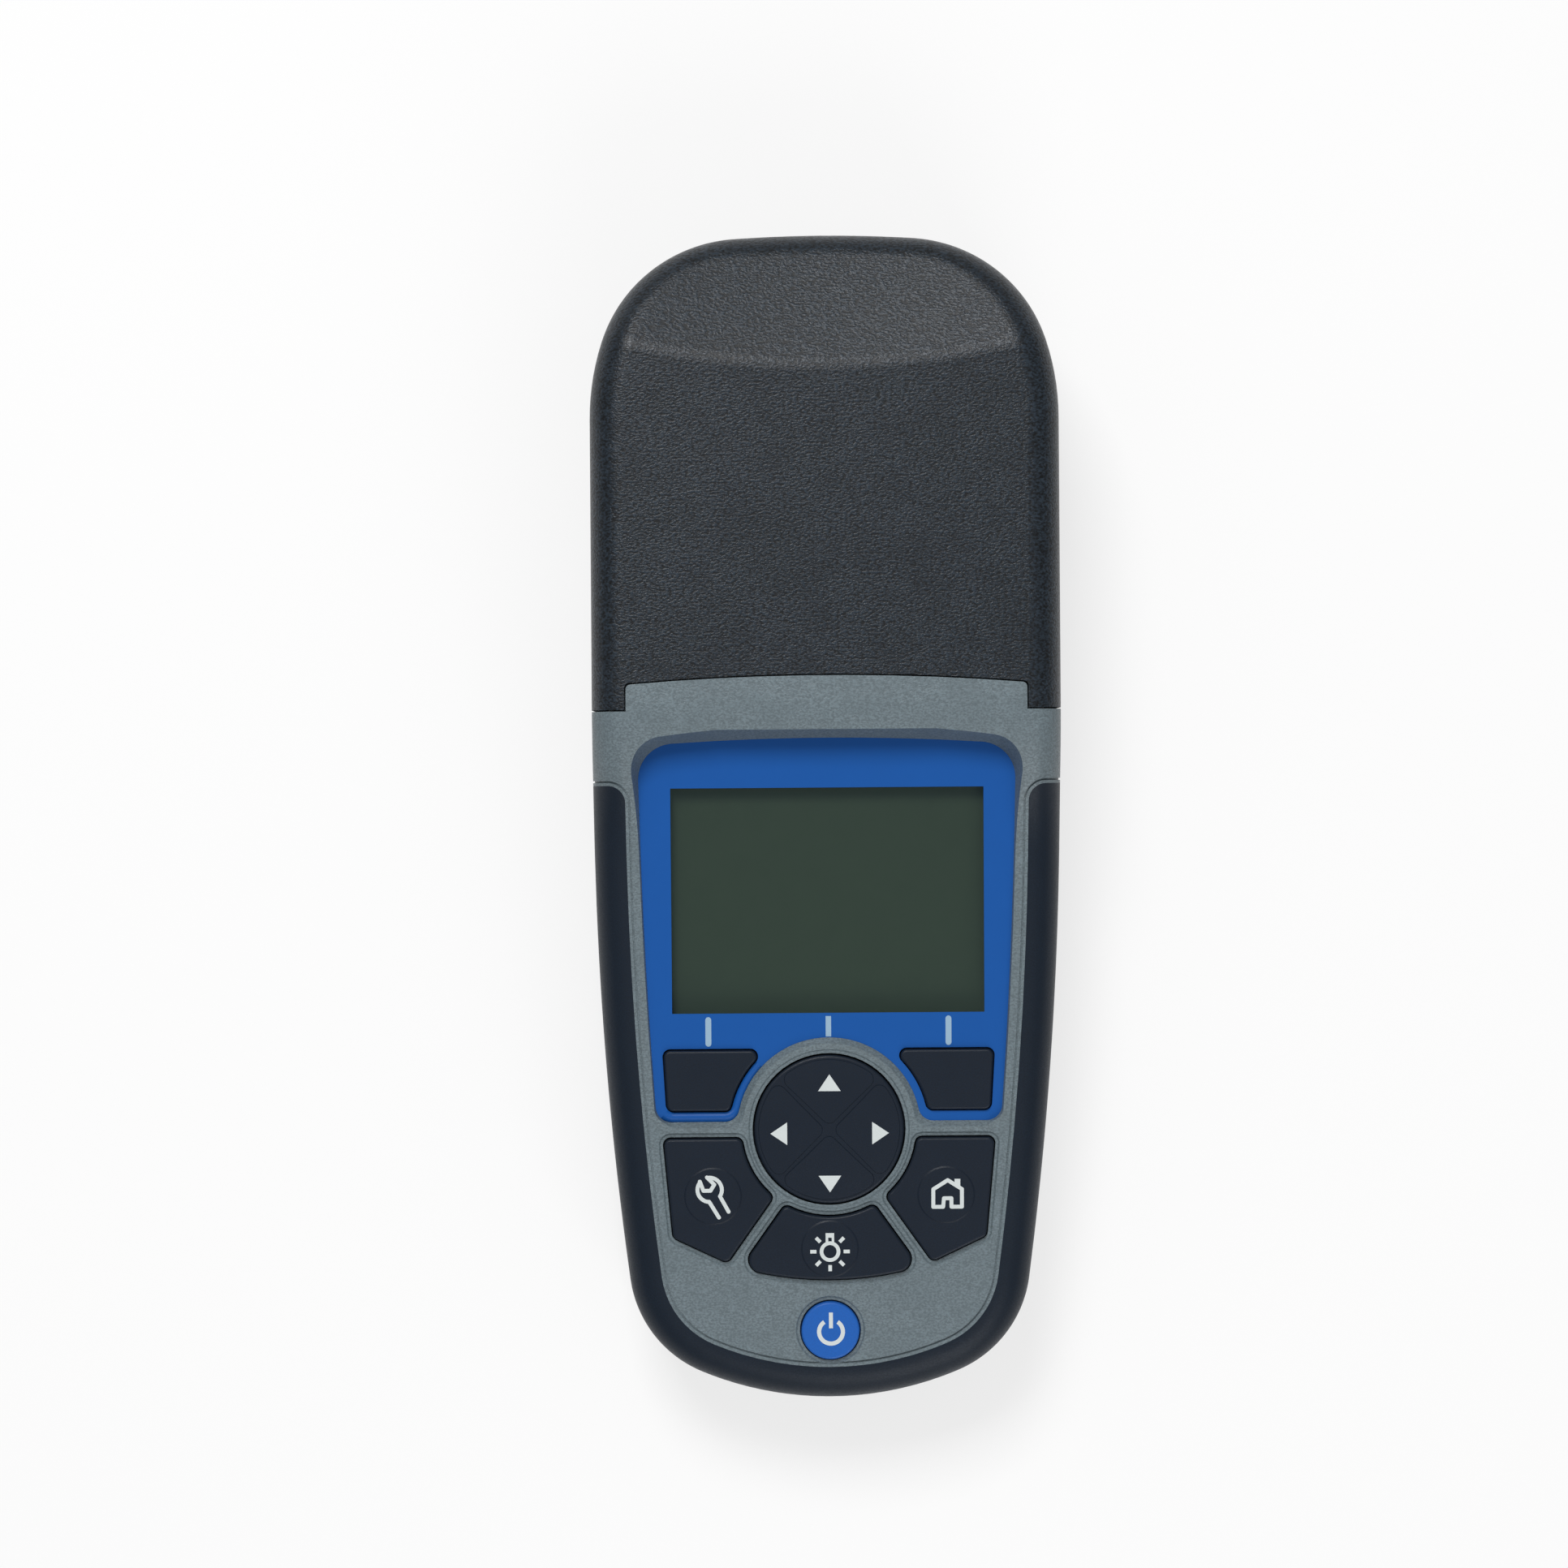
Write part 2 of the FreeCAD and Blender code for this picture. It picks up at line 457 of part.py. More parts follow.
class Turtle:
    """Draw a chain of tangent lines and arcs in the XY plane."""

    def __init__(self, x, y, heading):
        self.x = x
        self.y = y
        self.heading = math.radians(heading)
        self.edges = []

    def line(self, length):
        """Draw a straight stretch."""
        x = self.x + length * math.cos(self.heading)
        y = self.y + length * math.sin(self.heading)
        self.edges.append(Part.LineSegment(Vector(self.x, self.y, 0), Vector(x, y, 0)).toShape())
        self.x, self.y = x, y

    def arc(self, radius, turn):
        """Draw an arc that turns by so many degrees, left when positive."""
        angle = math.radians(turn)
        side = 1 if turn > 0 else -1
        centre_x = self.x - side * radius * math.sin(self.heading)
        centre_y = self.y + side * radius * math.cos(self.heading)

        def point(share):
            direction = self.heading + share * angle
            return Vector(centre_x + side * radius * math.sin(direction),
                          centre_y - side * radius * math.cos(direction), 0)

        end = point(1)
        self.edges.append(Part.Arc(Vector(self.x, self.y, 0), point(0.5), end).toShape())
        self.x, self.y = end.x, end.y
        self.heading += angle


def plan_outline(inset):
    """Draw the body's plan outline, set in by an amount, as a face at height zero.

    Each end is an arc on the centre line, a tight corner and a long arc, all tangent.
    """
    half_width = size("body_width") / 2 - inset
    sine = lambda degrees: math.sin(math.radians(degrees))

    corner = size("keypad_corner_radius") - inset
    end_turn = size("keypad_end_turn")
    side_turn = size("side_turn")
    side_radius = size("side_radius") - inset
    corner_turn = 90 - side_turn - end_turn
    reach = half_width - side_radius * (1 - sine(90 - side_turn))
    reach -= corner * (sine(90 - side_turn) - sine(end_turn))
    low = Turtle(0, inset - HALF_LENGTH, 0)
    low.arc(reach / sine(end_turn), end_turn)
    low.arc(corner, corner_turn)
    low.arc(side_radius, side_turn)

    corner = size("cap_corner_radius") - inset
    shoulder = size("cap_shoulder_radius") - inset
    end_turn = size("cap_end_turn")
    shoulder_turn = size("cap_shoulder_turn")
    reach = half_width - shoulder * (1 - sine(90 - shoulder_turn))
    reach -= corner * (sine(90 - shoulder_turn) - sine(end_turn))
    high = Turtle(0, HALF_LENGTH - inset, 0)
    high.arc(reach / sine(end_turn), -end_turn)
    high.arc(corner, shoulder_turn + end_turn - 90)
    high.arc(shoulder, -shoulder_turn)
    high.line(high.y - low.y)

    right = low.edges + high.edges
    left = [mirrored(edge) for edge in right]
    wire = Part.Wire(Part.__sortEdges__(right + left))
    return Part.Face(wire)


def plan_prism(inset, z_low=-PAST, z_high=None):
    """Extrude the inset plan outline between two heights, past the body where none are given."""
    z_high = z_high or CROWN + PAST
    face = plan_outline(inset)
    face.translate(Vector(0, 0, z_low))
    return face.extrude(Vector(0, 0, z_high - z_low))


def side_profile(top_inset, bottom_inset):
    """Extrude the side profile: back, keypad slope, ramp and level top.

    The ramp is two arcs of one radius. The first turns up as far as it takes the second
    to end level at the top. An inset moves every line and arc by the same distance.
    """
    low = BACK + bottom_inset
    tilt = size("keypad_tilt")
    radius = size("ramp_radius")
    ramp_y = size("ramp_start_y")
    ramp_z = BACK + size("keypad_end_thickness") + (ramp_y + HALF_LENGTH) * math.tan(TILT)
    rise = CROWN - ramp_z
    steepest = math.degrees(math.acos((radius * (1 + math.cos(TILT)) - rise) / (2 * radius)))
    run_up = HALF_LENGTH
    start_y = ramp_y + top_inset * math.sin(TILT) - run_up * math.cos(TILT)
    start_z = ramp_z - top_inset * math.cos(TILT) - run_up * math.sin(TILT)
    end = HALF_LENGTH + 30

    pen = Turtle(start_y, start_z, tilt)
    pen.line(run_up)
    pen.arc(radius + top_inset, steepest - tilt)
    pen.arc(radius - top_inset, -steepest)
    pen.line(end - pen.x)
    corners = [Vector(pen.x, pen.y, 0), Vector(end, low, 0), Vector(start_y, low, 0), Vector(start_y, start_z, 0)]
    closing = [Part.makeLine(corners[index], corners[index + 1]) for index in range(3)]
    face = Part.Face(Part.Wire(pen.edges + closing))
    face.Placement = Placement(Vector(-size("body_width"), 0, 0), Rotation(Vector(1, 1, 1), 120))
    return face.extrude(Vector(2 * size("body_width"), 0, 0))


def facet_cutter(top_inset):
    """Make the cutter for the cap's facet: a cone on its tip, beyond the end of the body."""
    fall = math.radians(size("facet_angle"))
    crease = size("facet_radius") + top_inset * (1 / math.sin(fall) - 1 / math.tan(fall))
    top = CROWN - top_inset
    low = size("parting_height")
    high = top + PAST
    centre = Vector(0, size("facet_start_y") + size("facet_radius"), low)
    low_radius = crease - (top - low) / math.tan(fall)
    high_radius = crease + (high - top) / math.tan(fall)
    return Part.makeCone(low_radius, high_radius, high - low, centre)


def sharp_form(side_inset, top_inset, bottom_inset):
    """Cross the plan outline with the side profile, and cut the facet."""
    form = plan_prism(side_inset).common(side_profile(top_inset, bottom_inset)).cut(facet_cutter(top_inset))
    return form.removeSplitter().Solids[0]


def is_upright_face(face):
    """Tell whether a face stands upright at its middle."""
    u_low, u_high, v_low, v_high = face.ParameterRange
    return abs(face.normalAt((u_low + u_high) / 2, (v_low + v_high) / 2).z) < 0.05


def rim_edges(form, floor):
    """Find the edges where the top meets the upright sides."""
    found = []
    for edge in form.Edges:
        box = edge.BoundBox
        if box.ZMin < floor or box.XLength + box.YLength < 0.01:
            continue
        faces = form.ancestorsOfType(edge, Part.Face)
        if len(faces) == 2 and sum(is_upright_face(face) for face in faces) == 1:
            found.append(edge)
    return found


def crease_edges(form, y_low, y_high):
    """Find the cross edges of the top between two places along the length."""
    return [edge for edge in form.Edges
            if edge.BoundBox.XLength > size("body_width") / 3
            and edge.BoundBox.YMin > y_low and edge.BoundBox.YMax < y_high
            and edge.BoundBox.ZMin > size("body_thickness") * 0.75]


def soften(form, facet, rim, back, bottom_inset):
    """Round the facet's crease, then the front rim and the back rim."""
    form = form.makeFillet(facet, crease_edges(form, HALF_LENGTH / 2, HALF_LENGTH))
    form = form.makeFillet(rim, rim_edges(form, size("parting_height")))
    floor = BACK + bottom_inset
    low = [edge for edge in form.Edges if abs(edge.BoundBox.ZMax - floor) < 0.01]
    return form.makeFillet(back, low)


def nested_form(inset):
    """Make the rounded outer form, set in all round by one amount."""
    sharp = sharp_form(inset, inset, inset)
    return soften(sharp, size("facet_crease_radius") - inset, size("rim_radius") - inset,
                  size("back_radius") - inset, inset)


def handle_hollow():
    """Make the handle's hollow, with thicker side walls than face walls."""
    wall = size("face_wall")
    form = sharp_form(HANDLE_INSET, wall, wall)
    radius = size("hollow_radius")
    form = soften(form, radius, radius, radius, wall)
    return form.common(stretch(-REACH, size("hollow_end_y")))


def tongue_prism(gap):
    """Extrude the housing's tongue, which fills the notch in the cap's front."""
    half = size("tongue_half_width") - gap
    tip = size("tongue_tip_y") - gap
    radius = size("tongue_tip_radius")
    corner = tip - radius + math.sqrt(radius ** 2 - half ** 2)
    start = size("mouth_y") - 10
    corners = [Vector(-half, start, 0), Vector(half, start, 0), Vector(half, corner, 0)]
    left_tip = Vector(-half, corner, 0)
    edges = [Part.makeLine(corners[0], corners[1]), Part.makeLine(corners[1], corners[2])]
    edges.append(Part.Arc(corners[2], Vector(0, tip, 0), left_tip).toShape())
    edges.append(Part.makeLine(left_tip, corners[0]))
    face = Part.Face(Part.Wire(edges))
    face.translate(Vector(0, 0, size("tongue_floor") + gap))
    prism = face.extrude(Vector(0, 0, 30))
    return round_uprights(prism, lambda x, y: size("tongue_corner_radius") if y > start + 1 else 0)


def round_uprights(prism, radius_at):
    """Round the upright edges of a prism, with a radius that depends on their place."""
    groups = {}
    for edge in prism.Edges:
        ends = [vertex.Point for vertex in edge.Vertexes]
        if len(ends) == 2 and abs(ends[0].z - ends[1].z) > 0.5 * prism.BoundBox.ZLength:
            foot = min(ends, key=lambda point: point.z)
            radius = radius_at(foot.x, foot.y)
            if radius > 0:
                groups.setdefault(radius, []).append((foot.x, foot.y))
    for radius, places in groups.items():
        chosen = []
        for edge in prism.Edges:
            ends = [vertex.Point for vertex in edge.Vertexes]
            if len(ends) < 2 or abs(ends[0].z - ends[1].z) < 0.5 * prism.BoundBox.ZLength:
                continue
            foot = min(ends, key=lambda point: point.z)
            if any(math.hypot(foot.x - x, foot.y - y) < 1e-4 for x, y in places):
                chosen.append(edge)
        prism = prism.makeFillet(radius, chosen)
    return prism


# Shared forms
OUTER = nested_form(0)
NECK_FORM = nested_form(NECK_INSET)
NECK_HOLLOW = nested_form(NECK_HOLLOW_INSET)
NECK_FLOOR = BACK + NECK_INSET
NECK_TOP = CROWN - NECK_INSET


def grip_border_prism(grow):
    """Extrude the grip's border in plan, grown inwards by an amount."""
    end = size("grip_top_y") + grow
    ring = stretch(-REACH, end).cut(plan_prism(size("grip_border") + grow, -2 * PAST, CROWN + 2 * PAST))
    radius = size("grip_corner_radius") + grow
    return round_uprights(ring, lambda x, y: radius if y > end - 0.01 and abs(x) < size("body_width") / 2 else 0)


def grip_shape():
    """Make the grip: the outer skin of the handle outside the grey face and the back."""
    skin = OUTER.copy().cut(nested_form(size("grip_thickness")))
    return skin.common(grip_border_prism(0))


def trim_groove():
    """Make the cutter for the fine groove that runs along the grip in the grey face."""
    skin = OUTER.copy().cut(nested_form(size("trim_depth")))
    wide = grip_border_prism(size("trim_offset") + size("trim_width"))
    return skin.common(wide).cut(grip_border_prism(size("trim_offset")))


def housing_form(grip):
    """Make the solid form of both housings together, with the neck and the tongue."""
    shoulder = size("mouth_y") - size("shut_gap")
    handle = OUTER.copy().common(stretch(-REACH, shoulder))
    handle = handle.fuse(OUTER.copy().common(tongue_prism(size("shut_gap")))).cut(grip.copy())
    neck = NECK_FORM.copy().common(stretch(shoulder - PAST, size("neck_end_y")))
    neck = round_uprights(neck, lambda x, y: size("neck_end_radius") if y > size("neck_end_y") - 0.01 else 0)
    return handle.fuse(neck).removeSplitter()


def shell_hollow():
    """Join the handle's hollow and the neck's."""
    end = size("neck_end_y") - size("neck_wall")
    neck = NECK_HOLLOW.copy().common(stretch(0, end))
    return handle_hollow().fuse(neck)


def screw_places():
    """Give each housing screw's place and the height of the outer face over its head."""
    places = []
    for side in (-1, 1):
        places.append((side * size("handle_screw_x"), size("handle_screw_y"), BACK))
        places.append((side * size("mouth_screw_x"), size("mouth_screw_y"), NECK_FLOOR))
        places.append((side * size("neck_screw_x"), size("neck_screw_y"), NECK_FLOOR))
    return places


def window_wire(grow_side, grow_top, grow_bottom, notch_radius, level, top_radius=None):
    """Draw the window's outline in the keypad's frame, with sharp corners."""
    top_radius = top_radius or size("window_top_radius") + grow_top
    side_radius = size("window_side_radius") + grow_side
    centre_x = size("window_half_width") - size("window_side_radius")
    centre_y = size("window_widest_y") - NAV_Y
    top_centre = size("window_top_y") - NAV_Y + grow_top - top_radius
    bottom = size("window_bottom_y") - NAV_Y - grow_bottom

    def side_x(y):
        return centre_x + math.sqrt(side_radius ** 2 - (y - centre_y) ** 2)

    top = top_centre + top_radius
    for step in range(6):
        top = top_centre + math.sqrt(top_radius ** 2 - side_x(top) ** 2)
    notch_x = math.sqrt(notch_radius ** 2 - bottom ** 2)
    middle = (top + bottom) / 2
    low_right = Vector(side_x(bottom), bottom, level)
    top_right = Vector(side_x(top), top, level)
    top_left = Vector(-top_right.x, top, level)
    low_left = Vector(-low_right.x, bottom, level)
    notch_left = Vector(-notch_x, bottom, level)
    notch_right = Vector(notch_x, bottom, level)
    return Part.Wire([
        Part.Arc(low_right, Vector(side_x(middle), middle, level), top_right).toShape(),
        Part.Arc(top_right, Vector(0, top_centre + top_radius, level), top_left).toShape(),
        Part.Arc(top_left, Vector(-side_x(middle), middle, level), low_left).toShape(),
        Part.makeLine(low_left, notch_left),
        Part.Arc(notch_left, Vector(0, notch_radius, level), notch_right).toShape(),
        Part.makeLine(notch_right, low_right),
    ])


def window_corner(x, y):
    """Give the window's corner radius at a place."""
    if y > 0.5 * (size("window_top_y") - NAV_Y):
        return size("window_top_corner")
    if abs(x) > 1.3 * size("window_notch_radius"):
        return size("window_low_corner")
    return size("window_notch_corner")


def window_prism(grow, low, high):
    """Extrude the window's outline, grown all round, between two levels."""
    wire = window_wire(grow, grow, grow, size("window_notch_radius") - grow, low)
    return round_uprights(Part.Face(wire).extrude(Vector(0, 0, high - low)), window_corner)


def window_recess():
    """Make the flared recess above the window."""
    low = window_wire(0, 0, 0, size("window_notch_radius"), -size("window_depth"))
    high = window_wire(size("recess_side_flare"), size("recess_top_flare"), size("recess_low_flare"),
                       size("window_notch_radius") - size("recess_low_flare"),
                       size("recess_height") - size("window_depth"), size("recess_top_radius"))
    rounded = [rounded_face(Part.Face(wire), window_corner).OuterWire for wire in (low, high)]
    return Part.makeLoft(rounded, True, True)


def view_block(margin, low, high):
    """Make the box of the clear view, grown by a margin, between two levels."""
    half = size("view_half_width") + margin
    return block(-half, half, size("view_low_y") - NAV_Y - margin, size("view_high_y") - NAV_Y + margin, low, high)


def rounded_face(sharp, radius_at):
    """Round a flat face's corners."""
    prism = round_uprights(sharp.extrude(Vector(0, 0, 5)), radius_at)
    return min(prism.Faces, key=lambda face: face.BoundBox.ZMax)


def polygon_face(points):
    """Make a flat face from corner points."""
    corners = [Vector(x, y, 0) for x, y in points]
    return Part.Face(Part.makePolygon(corners + corners[:1]))


def disc_face(radius, y=0.0):
    """Make a flat disc."""
    return Part.Face(Part.Wire(Part.makeCircle(radius, Vector(0, y, 0))))


# Any place inside the pad's arc, which trims the keys' inner ends
KEY_INNER_X = size("nav_radius") / 3


def soft_key_face():
    """Draw the right soft key, which sits in the window's lower corner."""
    top = size("soft_key_top")
    bottom = size("soft_key_bottom")
    outer = size("soft_key_outer")
    foot = (outer - size("soft_key_taper"), bottom)
    sharp = polygon_face([(KEY_INNER_X, bottom), foot, (outer, top), (KEY_INNER_X, top)])
    sharp = sharp.cut(disc_face(size("soft_key_notch_radius"))).Faces[0]
    return rounded_face(sharp, lambda x, y: size("key_corner"))


def menu_key_face():
    """Draw the home key: a top edge, a long outer side, a slanted foot and the pad's arc."""
    top = size("menu_key_top")
    outer = size("menu_key_outer")
    inner_foot = (size("menu_foot_inner_x"), size("menu_foot_inner_y"))
    outer_foot = (size("menu_foot_outer_x"), size("menu_foot_outer_y"))
    waist = (size("menu_waist_x"), size("menu_waist_y"))
    points = [waist, inner_foot, outer_foot, (outer, top), (KEY_INNER_X, top)]
    sharp = polygon_face(points).cut(disc_face(size("menu_key_notch_radius"))).Faces[0]
    return rounded_face(sharp, lambda x, y: size("key_corner"))


def backlight_key_face():
    """Draw the backlight key: a wedge between the menu keys with a round foot."""
    foot = Vector(0, size("light_foot_y"), 0)
    right = Vector(size("light_corner_x"), size("light_corner_y"), 0)
    left = Vector(-right.x, right.y, 0)
    side_top = Vector(size("light_waist_x"), size("light_waist_y"), 0)
    wire = Part.Wire([
        Part.Arc(left, foot, right).toShape(),
        Part.makeLine(right, side_top),
        Part.makeLine(side_top, Vector(-side_top.x, side_top.y, 0)),
        Part.makeLine(Vector(-side_top.x, side_top.y, 0), left),
    ])
    sharp = Part.Face(wire).cut(disc_face(size("menu_key_notch_radius"))).Faces[0]
    middle_y = (side_top.y + right.y) / 2
    return rounded_face(sharp, lambda x, y: size("key_corner") if y > middle_y else 2 * size("key_corner"))


def grown(face, amount):
    """Offset a flat face outwards."""
    return Part.Face(face.OuterWire.makeOffset2D(amount))


def slab(face, low, high):
    """Extrude a flat face between two levels."""
    moved = face.copy()
    moved.translate(Vector(0, 0, low))
    return moved.extrude(Vector(0, 0, high - low))


class Key:
    """One key: its outline in the keypad's frame and its stop under the face or the window."""

    def __init__(self, label, face, stop, top, middle, has_round=True):
        self.label = label
        self.face = face
        self.stop = stop
        self.top = top
        self.middle = middle
        self.has_round = has_round

    def flange_top(self):
        """Give the level of the flange's top."""
        return -self.stop - size("key_play")

    def flange_bottom(self):
        """Give the level of the flange's underside."""
        return self.flange_top() - size("key_flange_thickness")

    def solid(self):
        """Make the key cap with its flange and the raised round under its icon."""
        cap = slab(self.face, self.flange_top(), self.top)
        rim = [edge for edge in cap.Edges if abs(edge.BoundBox.ZMin - self.top) < 1e-4]
        cap = cap.makeFillet(size("key_edge_radius"), rim)
        flange = slab(grown(self.face, size("key_flange")), self.flange_bottom(), self.flange_top())
        cap = cap.fuse(flange)
        if self.has_round:
            foot = size("round_radius")
            base = Vector(*self.middle, self.top)
            cap = cap.fuse(Part.makeCone(foot, foot - size("round_bevel"), size("round_height"), base))
        return cap.removeSplitter()

    def opening(self, low, high):
        """Make the cutter for the hole that the key moves in."""
        return slab(grown(self.face, size("key_gap")), low, high)

    def flange_pocket(self, low):
        """Make the cutter for the room round the flange, up to its stop."""
        return slab(grown(self.face, size("key_flange") + size("key_gap")), low, -self.stop)

    def step(self):
        """Make the cutter for the fine step round the key, with its bevelled edge."""
        depth = size("key_step_depth")
        inner = size("key_gap") + size("key_step_width")
        wires = []
        for level, grow in ((-depth, inner), (depth, inner + 2 * depth)):
            wire = grown(self.face, grow).OuterWire
            wire.translate(Vector(0, 0, level))
            wires.append(wire)
        return Part.makeLoft(wires, True, True)


def make_keys():
    """List the six keys."""
    soft = soft_key_face()
    menu = menu_key_face()
    light = backlight_key_face()
    power = disc_face(size("power_key_radius"), size("power_key_y"))
    window_stop = size("window_depth") + size("window_thickness")
    face_stop = size("face_wall")
    rise = size("key_rise")
    soft_top = -size("soft_key_drop")
    soft_x = size("soft_icon_x")
    soft_y = size("soft_icon_y")
    menu_x = size("menu_icon_x")
    menu_y = size("menu_icon_y")
    return [
        Key("soft_key_left", mirrored(soft), window_stop, soft_top, (-soft_x, soft_y), False),
        Key("soft_key_right", soft, window_stop, soft_top, (soft_x, soft_y), False),
        Key("settings_key", mirrored(menu), face_stop, rise, (-menu_x, menu_y)),
        Key("home_key", menu, face_stop, rise, (menu_x, menu_y)),
        Key("backlight_key", light, face_stop, rise, (0, size("light_icon_y"))),
        Key("power_key", power, face_stop, rise, (0, size("power_key_y")), False),
    ]


KEYS = make_keys()
SOFT_KEYS = KEYS[:2]
FACE_KEYS = KEYS[2:]


# Places of the main board's screws in the keypad's frame
EAR_X = "(main_board_half_width + main_board_ear - ear_hole_inset)"
EAR_Y = "((lcd_low + lcd_high) / 2 - ear_drop)"
HIGH_POST_X = "(main_board_half_width - high_post_inset_x)"
HIGH_POST_Y = "(main_board_high - high_post_inset_y)"


def board_posts():
    """Give the posts that carry the boards: x, y, foot level and root level in the keypad's frame."""
    mat_level = -MAT_TOP - size("mat_thickness")
    main_level = -size("lcd_gap") - size("lcd_stack") - LEDGE_BASE
    face_root = -size("face_wall") + size("post_root")
    ledge_root = -LEDGE_BASE + size("post_root")
    posts = []
    for side in (-1, 1):
        posts.append((side * size("tab_post_x"), size("tab_post_y"), mat_level, face_root))
        posts.append((side * measure(EAR_X), measure(EAR_Y), main_level, ledge_root))
        posts.append((side * measure(HIGH_POST_X), measure(HIGH_POST_Y), main_level, ledge_root))
    return posts


def front_details(shell, form, grip):
    """Add the window's ledge, the posts and the bosses, then cut the recess and the openings."""
    ledge = on_face(window_prism(size("ledge_margin"), -LEDGE_BASE, size("recess_height")))
    shell = shell.fuse(ledge.common(OUTER.copy()).cut(grip.copy()))
    for x, y, floor in screw_places():
        boss = cylinder(size("front_boss_radius"), size("parting_height"), CROWN, x, y)
        shell = shell.fuse(boss.common(form.copy()))
    for x, y, foot, root in board_posts():
        shell = shell.fuse(on_face(cylinder(size("board_post_radius"), foot, root, x, y)))
    cutters = [
        window_prism(size("window_gap"), -WINDOW_BASE, -size("window_depth")),
        window_recess(),
        recess_bevel(),
        view_block(size("view_margin"), -LEDGE_BASE - 1, 0),
        cylinder(size("nav_radius") + size("nav_gap"), -LEDGE_BASE - 1, PAST),
        nav_step(),
        cylinder(size("nav_radius") + size("nav_flange") + size("nav_gap"), -LEDGE_BASE - 1, -size("face_wall")),
    ]
    for key in FACE_KEYS:
        cutters.append(key.opening(-LEDGE_BASE - 1, PAST))
        cutters.append(key.step())
        cutters.append(key.flange_pocket(-LEDGE_BASE - 1))
    for key in SOFT_KEYS:
        cutters.append(slab(grown(key.face, size("key_flange") + size("key_gap")), -LEDGE_BASE - 1, 0))
    hole = size("board_screw_radius") + size("screw_fit")
    for x, y, foot, root in board_posts():
        tip = foot - size("board_thickness") + size("board_screw_length") + size("hole_end")
        cutters.append(cylinder(hole, foot - 1, tip, x, y))
    for cutter in cutters:
        shell = shell.cut(on_face(cutter))
    return shell.cut(trim_groove())


def nav_step():
    """Make the cutter for the fine step round the pad, with its bevelled edge."""
    inner = size("nav_radius") + size("nav_gap") + size("nav_step_width")
    depth = size("nav_step_depth")
    return Part.makeCone(inner, inner + 2 * depth, 2 * depth, Vector(0, 0, -depth))


def recess_bevel():
    """Make the cutter for the bevel below the window and round the pad."""
    bevel = size("recess_bevel")
    notch = size("window_notch_radius")
    low = window_wire(-1, -1, 0, notch, -bevel)
    high = window_wire(-1, -1, 2 * bevel, notch - 2 * bevel, bevel)
    rounded = [rounded_face(Part.Face(wire), window_corner).OuterWire for wire in (low, high)]
    cutter = Part.makeLoft(rounded, True, True)
    return cutter.common(block(*EVERYWHERE, -REACH, size("window_notch_radius") + 1, -REACH, REACH))


def holder_posts():
    """Give the places of the cell holder's screws."""
    reach = size("holder_screw_reach")
    return [(x, size("well_y") + y) for x in (-reach, reach) for y in (-reach, reach)]


HOLDER_TOP = NECK_TOP - size("well_mouth_drop")
HOLDER_FLANGE_TOP = NECK_TOP - size("neck_wall") - size("holder_post_height")


def neck_details(shell):
    """Cut the cell well's hole in the neck, with the seal's groove and the holder's posts."""
    well_y = size("well_y")
    tube = size("well_radius") + size("well_wall")
    hole = size("board_screw_radius") + size("screw_fit")
    for x, y in holder_posts():
        root = NECK_TOP - size("neck_wall") + size("post_root")
        shell = shell.fuse(cylinder(size("holder_post_radius"), HOLDER_FLANGE_TOP, root, x, y))
        tip = HOLDER_FLANGE_TOP - size("holder_flange_thickness") + size("holder_screw_length") + size("hole_end")
        shell = shell.cut(cylinder(hole, HOLDER_FLANGE_TOP - 1, tip, x, y))
    shell = shell.cut(cylinder(tube + size("well_hole_gap"), HOLDER_FLANGE_TOP, CROWN, 0, well_y))
    groove_radius = tube + size("well_seal_gap")
    groove = cylinder(groove_radius + size("well_seal_width"), NECK_TOP - size("well_seal_sink"), CROWN, 0, well_y)
    groove = groove.cut(cylinder(groove_radius, 0, CROWN, 0, well_y))
    return shell.cut(groove)


def front_housing_shape(form, shells, grip):
    """Make the grey front housing, above the parting plane."""
    shell = shells.copy().common(block(*EVERYWHERE, *EVERYWHERE, size("parting_height"), REACH))
    shell = neck_details(front_details(shell, form, grip))
    for x, y, floor in screw_places():
        hole = size("housing_screw_radius") + size("screw_fit")
        tip = floor + size("housing_screw_sink") + size("housing_screw_length") + size("hole_end")
        shell = shell.cut(cylinder(hole, size("parting_height") - 1, tip, x, y))
    return shell.removeSplitter()


# Battery bay, shared by the rear housing, the cells and the cover
CELLS = 4
BAY_HALF = (CELLS - 1) / 2 * size("battery_pitch") + size("battery_radius") + size("bay_side_play")
BAY_LOW = size("bay_low_y")
BAY_HIGH = BAY_LOW + size("spring_length") + size("battery_length") + size("contact_thickness")
COVER_TOP = BACK + size("cover_thickness")
CELL_HEIGHT = COVER_TOP + size("battery_rest") + size("battery_radius")
BAY_ROOF = CELL_HEIGHT + size("battery_radius") + size("bay_roof_play")
COVER_HALF = BAY_HALF + size("cover_ledge")
COVER_LOW = BAY_LOW - size("cover_ledge") - size("cover_lug")
COVER_HIGH = BAY_HIGH + size("cover_ledge")
COVER_SCREW_Y = COVER_LOW + size("cover_lug") / 2


def cover_prism(grow, low, high):
    """Extrude the battery cover's outline, grown by an amount."""
    plate = block(-COVER_HALF - grow, COVER_HALF + grow, COVER_LOW - grow, COVER_HIGH + grow, low, high)
    return round_uprights(plate, lambda x, y: size("cover_corner") + grow)


